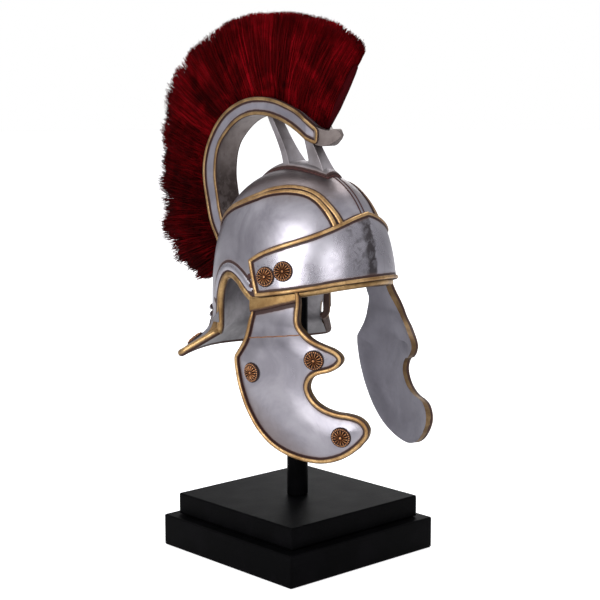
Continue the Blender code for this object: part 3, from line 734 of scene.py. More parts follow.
# Every second point is enough for the bar.
rim_line = rounded(both[:, :3], 8)[::2]
rim_normals = unit(rounded(both[:, 3:], 30))[::2]
rim_wash = np.clip(0.32 - 0.60 * np.sin(np.arange(RIM_CORNERS) * 2 * math.pi / RIM_CORNERS), 0.0, 0.9)
rim = moulding(rim_line, rim_normals, round_bar(RIM_RADIUS, 1.02, RIM_CORNERS), closed=True, wash=rim_wash)
fit(shade(rim, 80.0), "bowl_rim_gold", "gold", ["bowl_rim"], gold_rim)

# Brow plate. A peaked plate cast over the brow, with a gilt bead all round it and a dark wash line
# on both sides of the bead. It stands a plate's thickness above the bowl.
PLATE = 0.0016
PLATE_LIFT = 0.0005
BROW_END_UPPER = 79.5
BROW_END_LOWER = 74.5
BROW_STEPS = 12
BROW_LEVELS = 41
INNER_GAP = 0.0004
KEEL = 0.0009
KEEL_TURN = 13.0
# Share of the way round to the plate's end, and the heights of its upper and lower edges.
BROW = [
    (0.00, 0.665, 0.328), (0.10, 0.658, 0.327), (0.20, 0.643, 0.323), (0.30, 0.620, 0.317),
    (0.42, 0.588, 0.306), (0.54, 0.556, 0.291), (0.66, 0.527, 0.276), (0.77, 0.500, 0.262),
    (0.88, 0.469, 0.250), (0.95, 0.443, 0.241), (1.00, 0.420, 0.237),
]
table = smooth_line(BROW, BROW_STEPS)
table = np.vstack([(table * MIRROR)[::-1], table[1:]])
levels = np.linspace(0.0, 1.0, BROW_LEVELS)[:, None]
inner = INNER_GAP / UNIT


def plate_turns(level):
    """Turns along the brow plate at a share of its height."""
    return table[None, :, 0] * (BROW_END_LOWER + (BROW_END_UPPER - BROW_END_LOWER) * level)


def round_edge(grid):
    """What lies round the edge of a grid, in order."""
    return np.vstack([grid[0], grid[1:-1, -1], grid[-1][::-1], grid[1:-1, 0][::-1]])


plate_ups = table[None, :, 2] + inner + (table[None, :, 1] - table[None, :, 2] - 2 * inner) * levels
near_peak = np.clip(1.0 - np.abs(plate_turns(levels)) / KEEL_TURN, 0.0, 1.0)
keel = KEEL * near_peak ** 1.4 * ease(levels, -0.2, 0.5)
plate_spots = on_bowl(plate_turns(levels), plate_ups, (PLATE_LIFT + keel)[..., None])
brow_plate = sheet(plate_spots, INSIDE)
work(brow_plate, "SOLIDIFY", thickness=PLATE, offset=1.0, use_quality_normals=True)
brow_edge = round_edge(plate_spots)
brow_edge_normals = round_edge(bowl_facing(plate_turns(levels), plate_ups))
brow_bead_line = brow_edge + brow_edge_normals * BEAD_RADIUS * 1.05
brow_bead = moulding(brow_bead_line, brow_edge_normals, round_bar(BEAD_RADIUS, 1.15), closed=True)
fit(shade(brow_bead, 80.0), "brow_bead", "gold", ["brow_plate_rim"], gold_bead)
stain(brow_plate, [(dense(brow_edge + brow_edge_normals * PLATE, closed=True), BEAD_RADIUS)])
# The plates' third colour is near black. It darkens the drag streaks and makes the painted dark reflection by
# the brow plate's peak.
leaf_plate = silver_leaf("silver leaf, plates", (0.47, 0.455, 0.50), (0.32, 0.305, 0.342),
                         (0.070, 0.062, 0.066), 0.22, tarnish_and_painted_shade=peak_dark_reflection)
fit(shade(brow_plate, 50.0), "brow_plate_silver", "silver", ["brow_plate"], leaf_plate)

# Side bands. On each side a double gilt ridge runs from the brow plate up and back over the bowl,
# with a dark brown line between the two ridges and one on each side of them.
# Turn and height of the band's upper edge, then of its lower edge.
SIDE_BAND = [
    (21.5, 0.632, 31.4, 0.600), (22.6, 0.653, 32.4, 0.622), (24.8, 0.680, 34.0, 0.655),
    (29.0, 0.722, 37.0, 0.698), (34.5, 0.768, 41.5, 0.735), (42.0, 0.800, 47.0, 0.757),
    (51.5, 0.816, 54.5, 0.768), (62.0, 0.820, 64.0, 0.770), (74.0, 0.810, 75.0, 0.761),
    (88.0, 0.785, 87.0, 0.742), (102.0, 0.746, 101.0, 0.709), (118.0, 0.700, 118.0, 0.666),
    (131.0, 0.655, 131.0, 0.612), (144.0, 0.600, 144.0, 0.552), (156.0, 0.545, 156.0, 0.495),
    (166.0, 0.497, 166.0, 0.448),
]
RIDGE_SHARES = (0.28, 0.72)
RIDGE_RADIUS = 0.00142
band_table = smooth_line(SIDE_BAND, 8)
band_lines = []
for side, sign in (("right", 1), ("left", -1)):
    ridges = []
    for share in RIDGE_SHARES:
        turn = (band_table[:, 2] + (band_table[:, 0] - band_table[:, 2]) * share) * sign
        up = band_table[:, 3] + (band_table[:, 1] - band_table[:, 3]) * share
        path = on_bowl(turn, up, PLATE_LIFT * 0.8)
        ridges.append(moulding(path, bowl_facing(turn, up), round_bar(RIDGE_RADIUS, 0.55)))
        band_lines.append((dense(path), RIDGE_RADIUS - 0.00007))
    fit(shade(join(*ridges), 80.0), f"side_band_ridges_{side}", "gold", [f"side_band_{side}"], gold_bead)

# Ear arches. A raised lip goes round each arch, with a dark line outside it, and two small dark
# knobs fill the corner between the lip and the end of the brow plate.
LIP_OFFSET = 0.0052
LIP_HALF = 0.0020
LIP_TURNS = (77.0, 115.2)
LIP_LINE = 0.0007
LIP_WASH = (0.9, 0.55, 0.1, 0.1, 0.55, 0.9)
KNOBS = ((80.6, 0.335), (79.2, 0.286))
KNOB_RADIUS = 0.00155


def back_on_bowl(points):
    """The nearest spots of the bowl at the same heights, as turns and heights."""
    front = points[:, 1] < CENTRE
    half_width, reach, shape = bowl_outline(points[:, 2], front)
    across = np.abs(points[:, 0] / half_width) ** (shape / 2)
    ahead = np.abs((points[:, 1] - CENTRE) / reach) ** (shape / 2) * np.where(front, 1, -1)
    return np.degrees(np.arctan2(across, ahead)) * np.where(points[:, 0] > 0, -1, 1), points[:, 2]


ear = (fine[:, 0] > LIP_TURNS[0]) & (fine[:, 0] < LIP_TURNS[1])
ear_line = on_bowl(*fine[ear].T)
ear_normal = bowl_facing(*fine[ear].T)
ear_in = unit(np.cross(unit(np.gradient(ear_line, axis=0)), ear_normal))
lip_lines = []
for side, sign in (("right", 1), ("left", -1)):
    middle = rounded(ear_line + ear_in * LIP_OFFSET * 0.56, 12, closed=False)
    turn, height = back_on_bowl(middle)
    keep = (height < 0.1752) & (turn > 79.0) | (turn > 84.0)
    turn, height = turn[keep], height[keep]
    path = bowl_spot(turn * sign, height)
    normals = bowl_normal(turn * sign, height)
    ends = np.minimum(1.0, 0.4 + np.arange(len(path)) / 8)
    lip = moulding(path, normals, low_strip(LIP_HALF, 0.00050), thin=ends, wash=np.array(LIP_WASH))
    fit(shade(lip, 50.0), f"ear_lip_{side}", "silver", [], leaf_plate)
    lip_lines.append((dense(path), LIP_HALF + LIP_LINE))
    knobs = []
    for spot_turn, spot_up in KNOBS:
        knob = fresh("uv_sphere", segments=20, ring_count=12, radius=KNOB_RADIUS)
        for point in knob.data.vertices:
            point.co.z *= 0.75
        facing = Vector(bowl_facing(spot_turn * sign, spot_up)).to_track_quat("Z", "Y").to_matrix().to_4x4()
        knob.data.transform(Matrix.Translation(Vector(on_bowl(spot_turn * sign, spot_up, 0.0006))) @ facing)
        knobs.append(knob)
    fit(shade(join(*knobs), 60.0), f"ear_knobs_{side}", "copper", [], red_line)

# Ridge. Two dark red lines run side by side from the peak of the brow plate to the foot of the
# crest fork, along the middle of the bowl.
RIDGE_POINTS = 40
RIDGE_APART = 0.00125
ridge_lines = []
strips = []
for sign in (-1, 1):
    y = np.linspace(-0.0545, -0.0290, RIDGE_POINTS)
    x = np.full(RIDGE_POINTS, RIDGE_APART * sign)
    path = np.stack([x, y, bowl_height(x, y)], 1)
    strips.append(moulding(path, bowl_normal(*back_on_bowl(path)), low_strip(0.00035, 0.00030)))
    ridge_lines.append((dense(path), -0.0012))
fit(shade(join(*strips), 60.0), "ridge_lines", "copper", [], red_line)

# Nape. Three low ribs cross the nape above the neck guard. With them on, the wall of the bowl gets its
# brown wash and its thickness.
NAPE_RIBS = [("upper", 0.100), ("middle", 0.058), ("lower", 0.018)]
RIB_POINTS = 70
RIB_RADIUS = 0.00115
rib_lines = []
for label, up in NAPE_RIBS:
    turn = np.linspace(127.0, 233.0, RIB_POINTS)
    path = on_bowl(turn, up, 0.0007)
    from_end = np.minimum(np.arange(RIB_POINTS), np.arange(RIB_POINTS)[::-1])
    ends = np.minimum(1.0, from_end / 4 * 0.8 + 0.25)
    rib = moulding(path, bowl_facing(turn, up), round_bar(RIB_RADIUS, 0.9), thin=ends)
    fit(shade(rib, 80.0), f"nape_rib_{label}_silver", "silver", [f"nape_rib_{label}"], leaf_plate)
    rib_lines.append((dense(path), RIB_RADIUS - 0.00015))

bowl_lines = [(dense(edge_line, closed=True), 0.0004), (dense(brow_edge, closed=True), BEAD_RADIUS + 0.0001)]
stain(bowl, bowl_lines + band_lines + lip_lines + ridge_lines + rib_lines)
dress(bowl, leaf_bowl, leaf_inside, gold_edge_shaded)
WALL_SIDES = {"offset": -1.0, "use_quality_normals": True, "material_offset": 1, "material_offset_rim": 2}
work(bowl, "SOLIDIFY", thickness=WALL, **WALL_SIDES)
fit(shade(bowl, 60.0), "bowl_silver", "silver", ["bowl"])

# Cheek guards. Two curved guards cast with the bowl, crowned a little inside a gilt bead. A flat gilt
# band closes the top, under it lies a dark line, and further down a scribed line.
CHEEK_WALL = 0.0028
CHEEK_STEPS = 8
CHEEK_ACROSS = 64
# Rear edge and front edge of a cheek guard in the side view, from the top down: back and up for each.
CHEEK = [
    (-0.126, 0.226, -0.394, 0.268),
    (-0.132, 0.180, -0.410, 0.219), (-0.143, 0.140, -0.428, 0.160), (-0.134, 0.099, -0.446, 0.108),
    (-0.123, 0.058, -0.475, 0.068), (-0.112, 0.020, -0.522, 0.030), (-0.088, -0.027, -0.572, 0.003),
    (-0.056, -0.072, -0.625, -0.022), (-0.031, -0.106, -0.657, -0.052), (-0.028, -0.128, -0.662, -0.083),
    (-0.029, -0.150, -0.638, -0.120), (-0.033, -0.175, -0.598, -0.145), (-0.039, -0.203, -0.558, -0.156),
    (-0.047, -0.238, -0.528, -0.175), (-0.060, -0.280, -0.511, -0.200), (-0.078, -0.325, -0.504, -0.232),
    (-0.104, -0.380, -0.515, -0.266), (-0.142, -0.440, -0.548, -0.308), (-0.193, -0.503, -0.600, -0.338),
    (-0.269, -0.566, -0.661, -0.354), (-0.361, -0.610, -0.715, -0.358), (-0.470, -0.635, -0.765, -0.369),
    (-0.580, -0.637, -0.797, -0.390), (-0.680, -0.605, -0.814, -0.415), (-0.760, -0.545, -0.820, -0.440),
]
CHEEK_TIP = (-0.812, -0.478)
BAND_REAR_DROP = 0.0085
BAND_FRONT_DROP = 0.0060
BAND_TOP_DROP = 0.0010
BAND_LIFT = 0.0003
BAND_THICK = 0.0012
BAND_POINTS = 44
BAND_ROWS = 10
CROWN = 0.0017
CROWN_REACH = 0.0135
SCRIBE_POINTS = 60
UNDER_BROW = (0.0, -0.04, 0.11)
UNDER_BAND = (0.0, -0.02, 0.14)


def cheek_spot(back, height, out=0.0):
    """Points on the outer face of the right cheek guard, for places in the side view."""
    back, height = np.broadcast_arrays(np.array(back, float), np.array(height, float))
    ahead = np.maximum(0.0, CENTRE - back) / FRONT_REACH
    top = HALF_WIDTH * np.maximum(0.0001, 1.0 - ahead ** FRONT_SHAPE) ** (1 / FRONT_SHAPE) - 0.0015
    run = -0.03 - back / UNIT
    free = (0.482 - 0.0835 * run - 0.2885 * run * run) * UNIT
    up = (height - FOOT) / UNIT
    curl = 0.0033 * ease(-back / UNIT, 0.50, 0.66) * ease(up, -0.26, -0.16)
    width = top + (free - top) * ease(-up, -0.28, -0.08) - curl
    return np.stack([-width - out, back, height], -1)


def cheek_normal(back, height):
    """Directions straight out of the right cheek guard."""
    up = cheek_spot(back, np.add(height, 0.0005)) - cheek_spot(back, np.subtract(height, 0.0005))
    along = cheek_spot(np.add(back, 0.0005), height) - cheek_spot(np.subtract(back, 0.0005), height)
    normal = unit(np.cross(up, along))
    return normal * -np.sign(normal[..., :1])


outline = np.array([row[:2] for row in CHEEK] + [CHEEK_TIP] + [row[2:] for row in reversed(CHEEK)])
outline = smooth_line(outline, CHEEK_STEPS) * UNIT + (0.0, FOOT)
gilt_from = (len(CHEEK) - 3) * CHEEK_STEPS
outline_tree = tree_of(outline)
loop = dense(outline, gap=0.0006)
loop_along = unit(np.gradient(loop, axis=0))
loop_in = np.stack([-loop_along[:, 1], loop_along[:, 0]], 1)
area = np.sum(loop[:, 0] * np.roll(loop[:, 1], -1) - np.roll(loop[:, 0], -1) * loop[:, 1])
loop_in *= np.sign(area)
bead_loop = rounded(loop + loop_in * (BEAD_RADIUS * 0.92), 6, closed=False)
rows = smooth_line([*CHEEK, CHEEK_TIP * 2], CHEEK_STEPS) * UNIT
across = np.linspace(0.0, 1.0, CHEEK_ACROSS + 1)[None, :]
grid_back = rows[:, :1] + (rows[:, 2:3] - rows[:, :1]) * across
grid_up = FOOT + rows[:, 1:2] + (rows[:, 3:4] - rows[:, 1:2]) * across
edge_tree = tree_of(bead_loop)
depth = [edge_tree.find((0.0, back, up))[2] for back, up in zip(grid_back.ravel(), grid_up.ravel())]
crown = CROWN * ease(np.array(depth).reshape(grid_back.shape), -0.001, CROWN_REACH)
crown = crown * (0.12 + 0.88 * ease(-grid_up, -0.142, -0.124))
# The cheek guards' silver leaf is a darker copy of the bowl's, as painted shade on the guards.
leaf_cheek_shaded = silver_leaf("silver leaf, cheek guards", (0.385, 0.368, 0.405), (0.262, 0.250, 0.283),
                         (0.17, 0.128, 0.115), 0.24, tarnish_and_painted_shade=cheek_lower_shade)
leaf_grey = silver_leaf("dull silver, inside", (0.36, 0.35, 0.40), (0.27, 0.26, 0.30),
                        (0.17, 0.14, 0.14), 0.52, 0.05, 0.0)
gold_band = gilt("antique gold, cheek band", (0.42, 0.27, 0.115), (0.25, 0.145, 0.055),
                 (0.050, 0.018, 0.009), 0.40)
scribed = paint("scribed line", (0.28, 0.13, 0.055), (0.17, 0.07, 0.035), 0.45, 0.3)
carriers = {"brow": brow_plate, "guard": bowl}
sides_up = np.array([(row[1], row[0], row[3], row[2]) for row in CHEEK[:5]]) * UNIT + (FOOT, 0.0, FOOT, 0.0)
over_cheek = (head_line[:, 1] > -0.052) & (head_line[:, 1] < -0.003)


def band_up(back, share):
    """Heights on the flat band over a cheek guard; share is 0 at its foot and 1 behind the bowl's rim."""
    ahead = np.clip((-0.0140 - back) / 0.026, 0.0, 1.0)
    drop = BAND_REAR_DROP + (BAND_FRONT_DROP - BAND_REAR_DROP) * ahead
    drop = drop + (BAND_TOP_DROP - drop) * share
    return np.interp(back, head_line[over_cheek, 1], head_line[over_cheek, 2]) - drop


band_backs = np.linspace(-0.0420, -0.0120, BAND_POINTS)[None, :] + np.zeros((BAND_ROWS, 1))
band_share = np.linspace(0.0, 1.0, BAND_ROWS)[:, None]
for _ in range(4):
    band_ups = band_up(band_backs, band_share)
    band_rear = np.interp(band_ups, sides_up[::-1, 0], sides_up[::-1, 1]) + 0.0004
    band_front = np.interp(band_ups, sides_up[::-1, 2], sides_up[::-1, 3]) + 0.0004
    band_backs = band_front + (band_rear - band_front) * np.linspace(0.0, 1.0, BAND_POINTS)[None, :]
below_band = (bead_loop[:, 1] < band_up(bead_loop[:, 0], 0.0) + 0.0009) | (bead_loop[:, 0] < -0.030)
bead_loop = bead_loop[below_band]
bead_ends = np.minimum(1.0, 0.55 + np.arange(len(bead_loop)) / 12)
line_back = np.linspace(-0.0125, -0.0455, SCRIBE_POINTS)
line_up = FOOT + 0.0001 + (-0.0125 - line_back) * 0.139 + 0.00007 * np.sin(line_back * 900)
for side, sign in (("right", 1), ("left", -1)):
    mirror = np.array((sign, 1, 1))
    plate = sheet(cheek_spot(grid_back, grid_up, crown) * mirror, UNDER_BROW)
    bead_normals = cheek_normal(*bead_loop.T) * mirror
    bead_path = cheek_spot(*bead_loop.T) * mirror
    band_foot = dense(cheek_spot(band_backs[0], band_ups[0]) * mirror)
    stain(plate, [(bead_path, BEAD_RADIUS), (band_foot, 0.0013)])
    dress(plate, leaf_cheek_shaded, leaf_grey, gold_edge_shaded)
    work(plate, "SOLIDIFY", thickness=CHEEK_WALL, **WALL_SIDES)
    for face in plate.data.polygons:
        if face.material_index == 2 and outline_tree.find((0.0, *face.center.yz))[1] <= gilt_from:
            face.material_index = 1
    carriers[side] = plate
    fit(shade(plate, 60.0), f"cheek_guard_{side}_silver", "silver", [f"cheek_guard_{side}"])
    bead = moulding(bead_path + bead_normals * BEAD_RADIUS * 0.35, bead_normals,
                    round_bar(BEAD_RADIUS * 1.05, 1.1), thin=bead_ends)
    fit(shade(bead, 80.0), f"cheek_bead_{side}", "gold", [f"cheek_rim_{side}"], gold_bead)
    band_grid = cheek_spot(band_backs, band_ups, BAND_LIFT) * mirror
    band_out = cheek_normal(band_backs[0], band_ups[0]) * mirror * BAND_THICK / 2
    band = sheet(band_grid, UNDER_BAND)
    work(band, "SOLIDIFY", thickness=BAND_THICK, offset=1.0)
    work(band, "BEVEL", width=0.0004, segments=3, limit_method="ANGLE")
    stain(band, [(dense(band_grid[0] + band_out), -0.0004)])
    fit(shade(band, 50.0), f"cheek_band_{side}", "gold", [], gold_band)
    above = cheek_spot(line_back, line_up, 0.0012) * mirror
    crease = np.array([plate.closest_point_on_mesh(Vector(spot))[1] for spot in above])
    scribe = moulding(crease, cheek_normal(line_back, line_up) * mirror, low_strip(0.00032, 0.00022))
    fit(shade(scribe, 60.0), f"cheek_scribed_line_{side}", "copper", [], scribed)

# Rosettes. Small round flowers of copper paint, with fluted petals round a raised boss and a ring of
# beads at the rim. Brown wash lies between the petals. One is made, and its copies are set in place.
ROSETTE_RADIUS = 0.0052
PETALS = 14
RIM_BEADS = 26
SPOKE_STEPS = 8
copper = Finish("aged copper")
copper_cloud = copper.speckle(420.0, 4.0, 0.6)
copper_low = copper.step(copper.painted("wash") + (copper_cloud - 0.5) * 0.25, 0.10, 0.52)
copper_base = copper.mix(copper.step(copper_cloud, 0.35, 0.70), (0.40, 0.17, 0.068), (0.74, 0.36, 0.155))
copper.coat(
    Base_Color=copper.mix(copper_low, copper_base, (0.024, 0.008, 0.005)),
    Metallic=0.82 - copper_low * 0.6,
    Roughness=0.34 + copper_cloud * 0.14 + copper_low * 0.2,
    Normal=copper.bumps(copper_cloud, 0.00012, 0.5),
)
spoke = np.linspace(0.0, 2 * math.pi, PETALS * SPOKE_STEPS + 1)[None, :]
out = np.array([0.001, 0.05, 0.09, 0.12, 0.15, 0.18, 0.24, 0.32, 0.42, 0.52, 0.61, 0.68, 0.73, 0.77, 0.81,
                0.84, 0.88, 0.92, 0.96, 0.99, 1.0, 1.07, 1.075])[:, None]
base_up = np.interp(out[:, 0], [0, 0.06, 0.13, 0.17, 0.40, 0.66, 0.78, 0.83, 0.90, 0.96, 1.0],
                    [0.38, 0.365, 0.30, 0.23, 0.33, 0.30, 0.17, 0.19, 0.24, 0.18, 0.05])[:, None]
petal = 0.5 + 0.5 * np.cos(spoke * PETALS)
petal_zone = ease(out, 0.15, 0.24) * (1 - ease(out, 0.73, 0.79))
bead_zone = ease(out, 0.80, 0.85) * (1 - ease(out, 0.94, 0.99))
bead_gap = 0.5 - 0.5 * np.cos(spoke * RIM_BEADS)
rise = base_up - petal_zone * 0.25 * (1 - petal) ** 1.2 - bead_zone * 0.09 * bead_gap
rise[-1] = -0.02
round_boss = ease(out, 0.12, 0.15) * (1 - ease(out, 0.18, 0.24))
inside_beads = ease(out, 0.74, 0.78) * (1 - ease(out, 0.80, 0.85))
low_mark = np.clip(petal_zone * (1 - petal) ** 1.1 * 1.2 + round_boss * 0.7 + inside_beads * 0.8
                   + ease(out, 0.95, 0.99) + bead_zone * 0.6 * bead_gap, 0.0, 1.0)
flower_grid = np.stack([out * np.cos(spoke) * ROSETTE_RADIUS, out * np.sin(spoke) * ROSETTE_RADIUS,
                        rise * ROSETTE_RADIUS + 0 * spoke], -1)
flower = shade(sheet(flower_grid, wash=low_mark + 0 * spoke), 50.0)
rosette_nodes = sorted(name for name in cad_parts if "rosette" in name)
for index, name in enumerate(rosette_nodes):
    corners = np.array([tuple(point.co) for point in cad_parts[name].data.vertices])
    corners = np.unique(np.round(corners, 7), axis=0)
    middle = corners.mean(axis=0)
    normal = np.linalg.svd(corners - middle)[2][2]
    away = middle - np.array((0.0, CENTRE, middle[2] - (0.02 if "guard" in name else 0.0)))
    normal = normal if normal.dot(away) > 0 else -normal
    spot = middle + normal * ((corners - middle) @ normal).min()
    words = name.split("_")
    carrier = carriers[words[2] if words[0] == "cheek" else words[0]]
    spot, normal = carrier.closest_point_on_mesh(Vector(spot + normal * 0.005))[1:3]
    facing = Vector(normal).to_track_quat("Z", "Y").to_matrix().to_4x4()
    turned = Matrix.Rotation(index * 0.7, 4, "Z")
    piece = flower.copy()
    piece.data = flower.data.copy()
    bpy.context.scene.collection.objects.link(piece)
    piece.data.transform(Matrix.Translation(Vector(spot)) @ facing @ turned)
    fit(piece, f"{name}_copper", "copper", [name], copper)
bpy.data.objects.remove(flower)

# Crest fork. A long saddle sits on the crown and two flat prongs rise from it to the crest holder.
# It is dull silver with brown in its hollows, and a dark red line follows its lower edge.
# Back, half width and lift of the saddle above the bowl, from rear to front.
SADDLE = [
    (0.262, 0.058, 0.014), (0.205, 0.068, 0.022), (0.130, 0.076, 0.030), (0.050, 0.078, 0.034),
    (-0.040, 0.078, 0.034), (-0.120, 0.077, 0.034), (-0.200, 0.070, 0.032), (-0.260, 0.060, 0.026),
    (-0.305, 0.051, 0.016),
]
# Corners of each prong, the two feet first: back, up and half width.
PRONGS = [
    [(-0.018, 0.915, 0.067), (0.035, 0.915, 0.067), (0.213, 1.184, 0.035), (0.172, 1.182, 0.035)],
    [(-0.285, 0.862, 0.050), (-0.158, 0.905, 0.060), (-0.083, 1.100, 0.034), (-0.150, 1.058, 0.032)],
]
ARC_STEPS = 20
PRONG_CUTS = 7
CORD_RADIUS = 0.00065
saddle_rows = smooth_line(SADDLE, 6) * UNIT
arc = np.linspace(0.0, math.pi, ARC_STEPS + 1)
saddle_x = saddle_rows[:, 1:2] * np.cos(arc)[None]
saddle_y = saddle_rows[:, :1] + 0 * saddle_x
saddle_top = bowl_height(saddle_x, saddle_y) + saddle_rows[:, 2:3] * np.sin(arc)[None] ** 0.45 + 0.0002
saddle_low = bowl_height(saddle_x, saddle_y) - 0.0003
saddle_grid = np.concatenate([np.stack([saddle_x, saddle_y, saddle_top], -1),
                              np.stack([saddle_x, saddle_y, saddle_low], -1)[:, ::-1]], axis=1)
saddle = sheet(np.concatenate([saddle_grid, saddle_grid[:, :1]], axis=1))
prongs = []
for corners in PRONGS:
    prong = fresh("cube", size=1.0)
    ends = {(-1, -1): corners[0], (1, -1): corners[1], (1, 1): corners[2], (-1, 1): corners[3]}
    for point in prong.data.vertices:
        back, up, half_width = ends[(1 if point.co.y > 0 else -1, 1 if point.co.z > 0 else -1)]
        point.co = Vector((math.copysign(half_width * UNIT, point.co.x), back * UNIT, FOOT + up * UNIT))
    edit(prong, ("subdivide", {"number_cuts": PRONG_CUTS}))
    foot_z = min(point.co.z for point in prong.data.vertices)
    head_z = max(point.co.z for point in prong.data.vertices)
    for point in prong.data.vertices:
        climbed = (point.co.z - foot_z) / (head_z - foot_z)
        waist = 0.16 * math.sin(math.pi * min(1.0, climbed * 1.1))
        point.co.x *= 1.0 - waist + 0.10 * max(0.0, 0.2 - climbed) / 0.2
    work(prong, "BEVEL", width=0.0011, segments=4, limit_method="ANGLE")
    prongs.append(prong)
join(saddle, *prongs)
saddle_edge = np.vstack([saddle_grid[:, 0], saddle_grid[-1, 1:ARC_STEPS], saddle_grid[::-1, ARC_STEPS],
                         saddle_grid[0, 1:ARC_STEPS][::-1]])
saddle_edge = rounded(dense(saddle_edge, closed=True, gap=0.0005), 6)
edge_turn = back_on_bowl(saddle_edge)[0]
stain(saddle, [(saddle_edge, CORD_RADIUS + 0.00005)])
leaf_fork = silver_leaf("silver leaf, crest fork", (0.44, 0.41, 0.43), (0.25, 0.225, 0.23),
                        (0.12, 0.085, 0.068), 0.42, 0.26)
fit(shade(saddle, 50.0), "crest_fork_silver", "silver", ["crest_fork"], leaf_fork)
saddle_edge[:, 2] = bowl_height(saddle_edge[:, 0], saddle_edge[:, 1]) + 0.0002
cord = moulding(saddle_edge, bowl_normal(edge_turn, saddle_edge[:, 2]), round_bar(CORD_RADIUS, 0.9, 10),
                closed=True, wash=np.zeros(10))
fit(shade(cord, 80.0), "crest_fork_line", "copper", [], red_line)

# Crest holder. A tall arch cast in resin that carries the hair. Its sides are silver between gilt
# borders, its hollow side is dull silver, and it ends in a plain lip at the front.
HOLDER_HALF = 0.0075
HOLDER_POINTS = 190
HOLDER_SOFT = 0.0004
TRIM_IN = 0.0012
TRIM_RADIUS = 0.00115
FIRST_DOWN = (0.0, 0.012, 0.05)
LAST_DOWN = (0.95, 0.988, 1.0)
STRIP_END = 0.925
LIP_FROM = -0.0205
# Outer and inner edges of the holder in the side view, from its rear foot to its lip: back and up.
HOLDER_OUTER = [
    (0.515, 0.275), (0.570, 0.365), (0.622, 0.452), (0.679, 0.548), (0.711, 0.663), (0.737, 0.778),
    (0.741, 0.873), (0.722, 0.958), (0.688, 1.033), (0.628, 1.118), (0.546, 1.193), (0.448, 1.246),
    (0.337, 1.280), (0.229, 1.289), (0.122, 1.282), (0.017, 1.257), (-0.085, 1.220), (-0.160, 1.174),
    (-0.216, 1.132), (-0.284, 1.113), (-0.337, 1.121), (-0.369, 1.089),
]
HOLDER_INNER = [
    (0.508, 0.300), (0.500, 0.370), (0.496, 0.440), (0.529, 0.510), (0.562, 0.578), (0.586, 0.650),
    (0.601, 0.722), (0.617, 0.805), (0.616, 0.879), (0.603, 0.952), (0.573, 1.016), (0.523, 1.069),
    (0.466, 1.117), (0.386, 1.160), (0.292, 1.184), (0.199, 1.186), (0.123, 1.176), (0.033, 1.153),
    (-0.056, 1.116), (-0.129, 1.074), (-0.168, 1.050), (-0.242, 1.026), (-0.296, 1.034), (-0.350, 1.066),
]


def along_line(line, shares):
    """Points at shares of the length of a line."""
    line = np.array(line, float)
    length = np.concatenate([[0.0], np.cumsum(np.linalg.norm(np.diff(line, axis=0), axis=1))])
    return np.stack([np.interp(np.array(shares) * length[-1], length, line[:, axis]) for axis in range(2)], 1)


def holder_half(back):
    """Half the width of the crest holder, which narrows towards its lip."""
    return HOLDER_HALF - 0.297 * np.maximum(0.0, -0.0150 - back)


outer_line = smooth_line(HOLDER_OUTER, 8) * UNIT + (0.0, FOOT)
inner_line = smooth_line(HOLDER_INNER, 8) * UNIT + (0.0, FOOT)
shares = np.linspace(0.0, 1.0, HOLDER_POINTS)
outer_pts = along_line(outer_line, shares)
inner_pts = along_line(inner_line, shares)
down = np.concatenate([FIRST_DOWN, np.linspace(0.12, 0.88, 13), LAST_DOWN])
flat = np.linspace(-1.0, 1.0, 9)[1:-1]
section = [(-1.0, share) for share in down] + [(share, 1.0) for share in flat]
section += [(1.0, share) for share in down[::-1]] + [(share, 0.0) for share in flat[::-1]]
section = np.array(section)
soften = 1.0 - 0.05 * (np.abs(section[:, 1] - 0.5) > 0.4995) * (np.abs(section[:, 0]) > 0.99)
spots = outer_pts[:, None] + (inner_pts - outer_pts)[:, None] * section[None, :, 1:]
width = holder_half(spots[..., 0]) * section[None, :, 0] * soften[None]
holder_grid = np.stack([width, spots[..., 0], spots[..., 1]], -1)
holder = sheet(np.concatenate([holder_grid, holder_grid[:, :1]], axis=1))
work(holder, "BEVEL", width=HOLDER_SOFT, segments=2, limit_method="ANGLE", angle_limit=math.radians(60))
strip = shares < STRIP_END
thick = np.linalg.norm(inner_pts - outer_pts, axis=1)[:, None]
toward = (inner_pts - outer_pts) / np.maximum(thick, 1e-6)
border = np.vstack([(outer_pts + toward * TRIM_IN)[strip], (inner_pts - toward * TRIM_IN)[strip][::-1]])
border = rounded(dense(border[1:-1], gap=0.0006), 10, closed=False)
leaf_holder = silver_leaf("silver leaf, crest holder", (0.40, 0.385, 0.435), (0.29, 0.278, 0.322),
                          (0.14, 0.10, 0.082), 0.36, 0.06)


def hollow_low_darkening(leaf, cloud, mottle):
    """The hollow side of the crest holder is dark low down at the back."""
    up = leaf.axis(2)
    low = leaf.step(up + (mottle - 0.5) * 0.02, 0.228, 0.206) * leaf.step(up, 0.180, 0.192)
    return low * (0.35 + leaf.step(mottle, 0.4, 0.6) * 0.6)


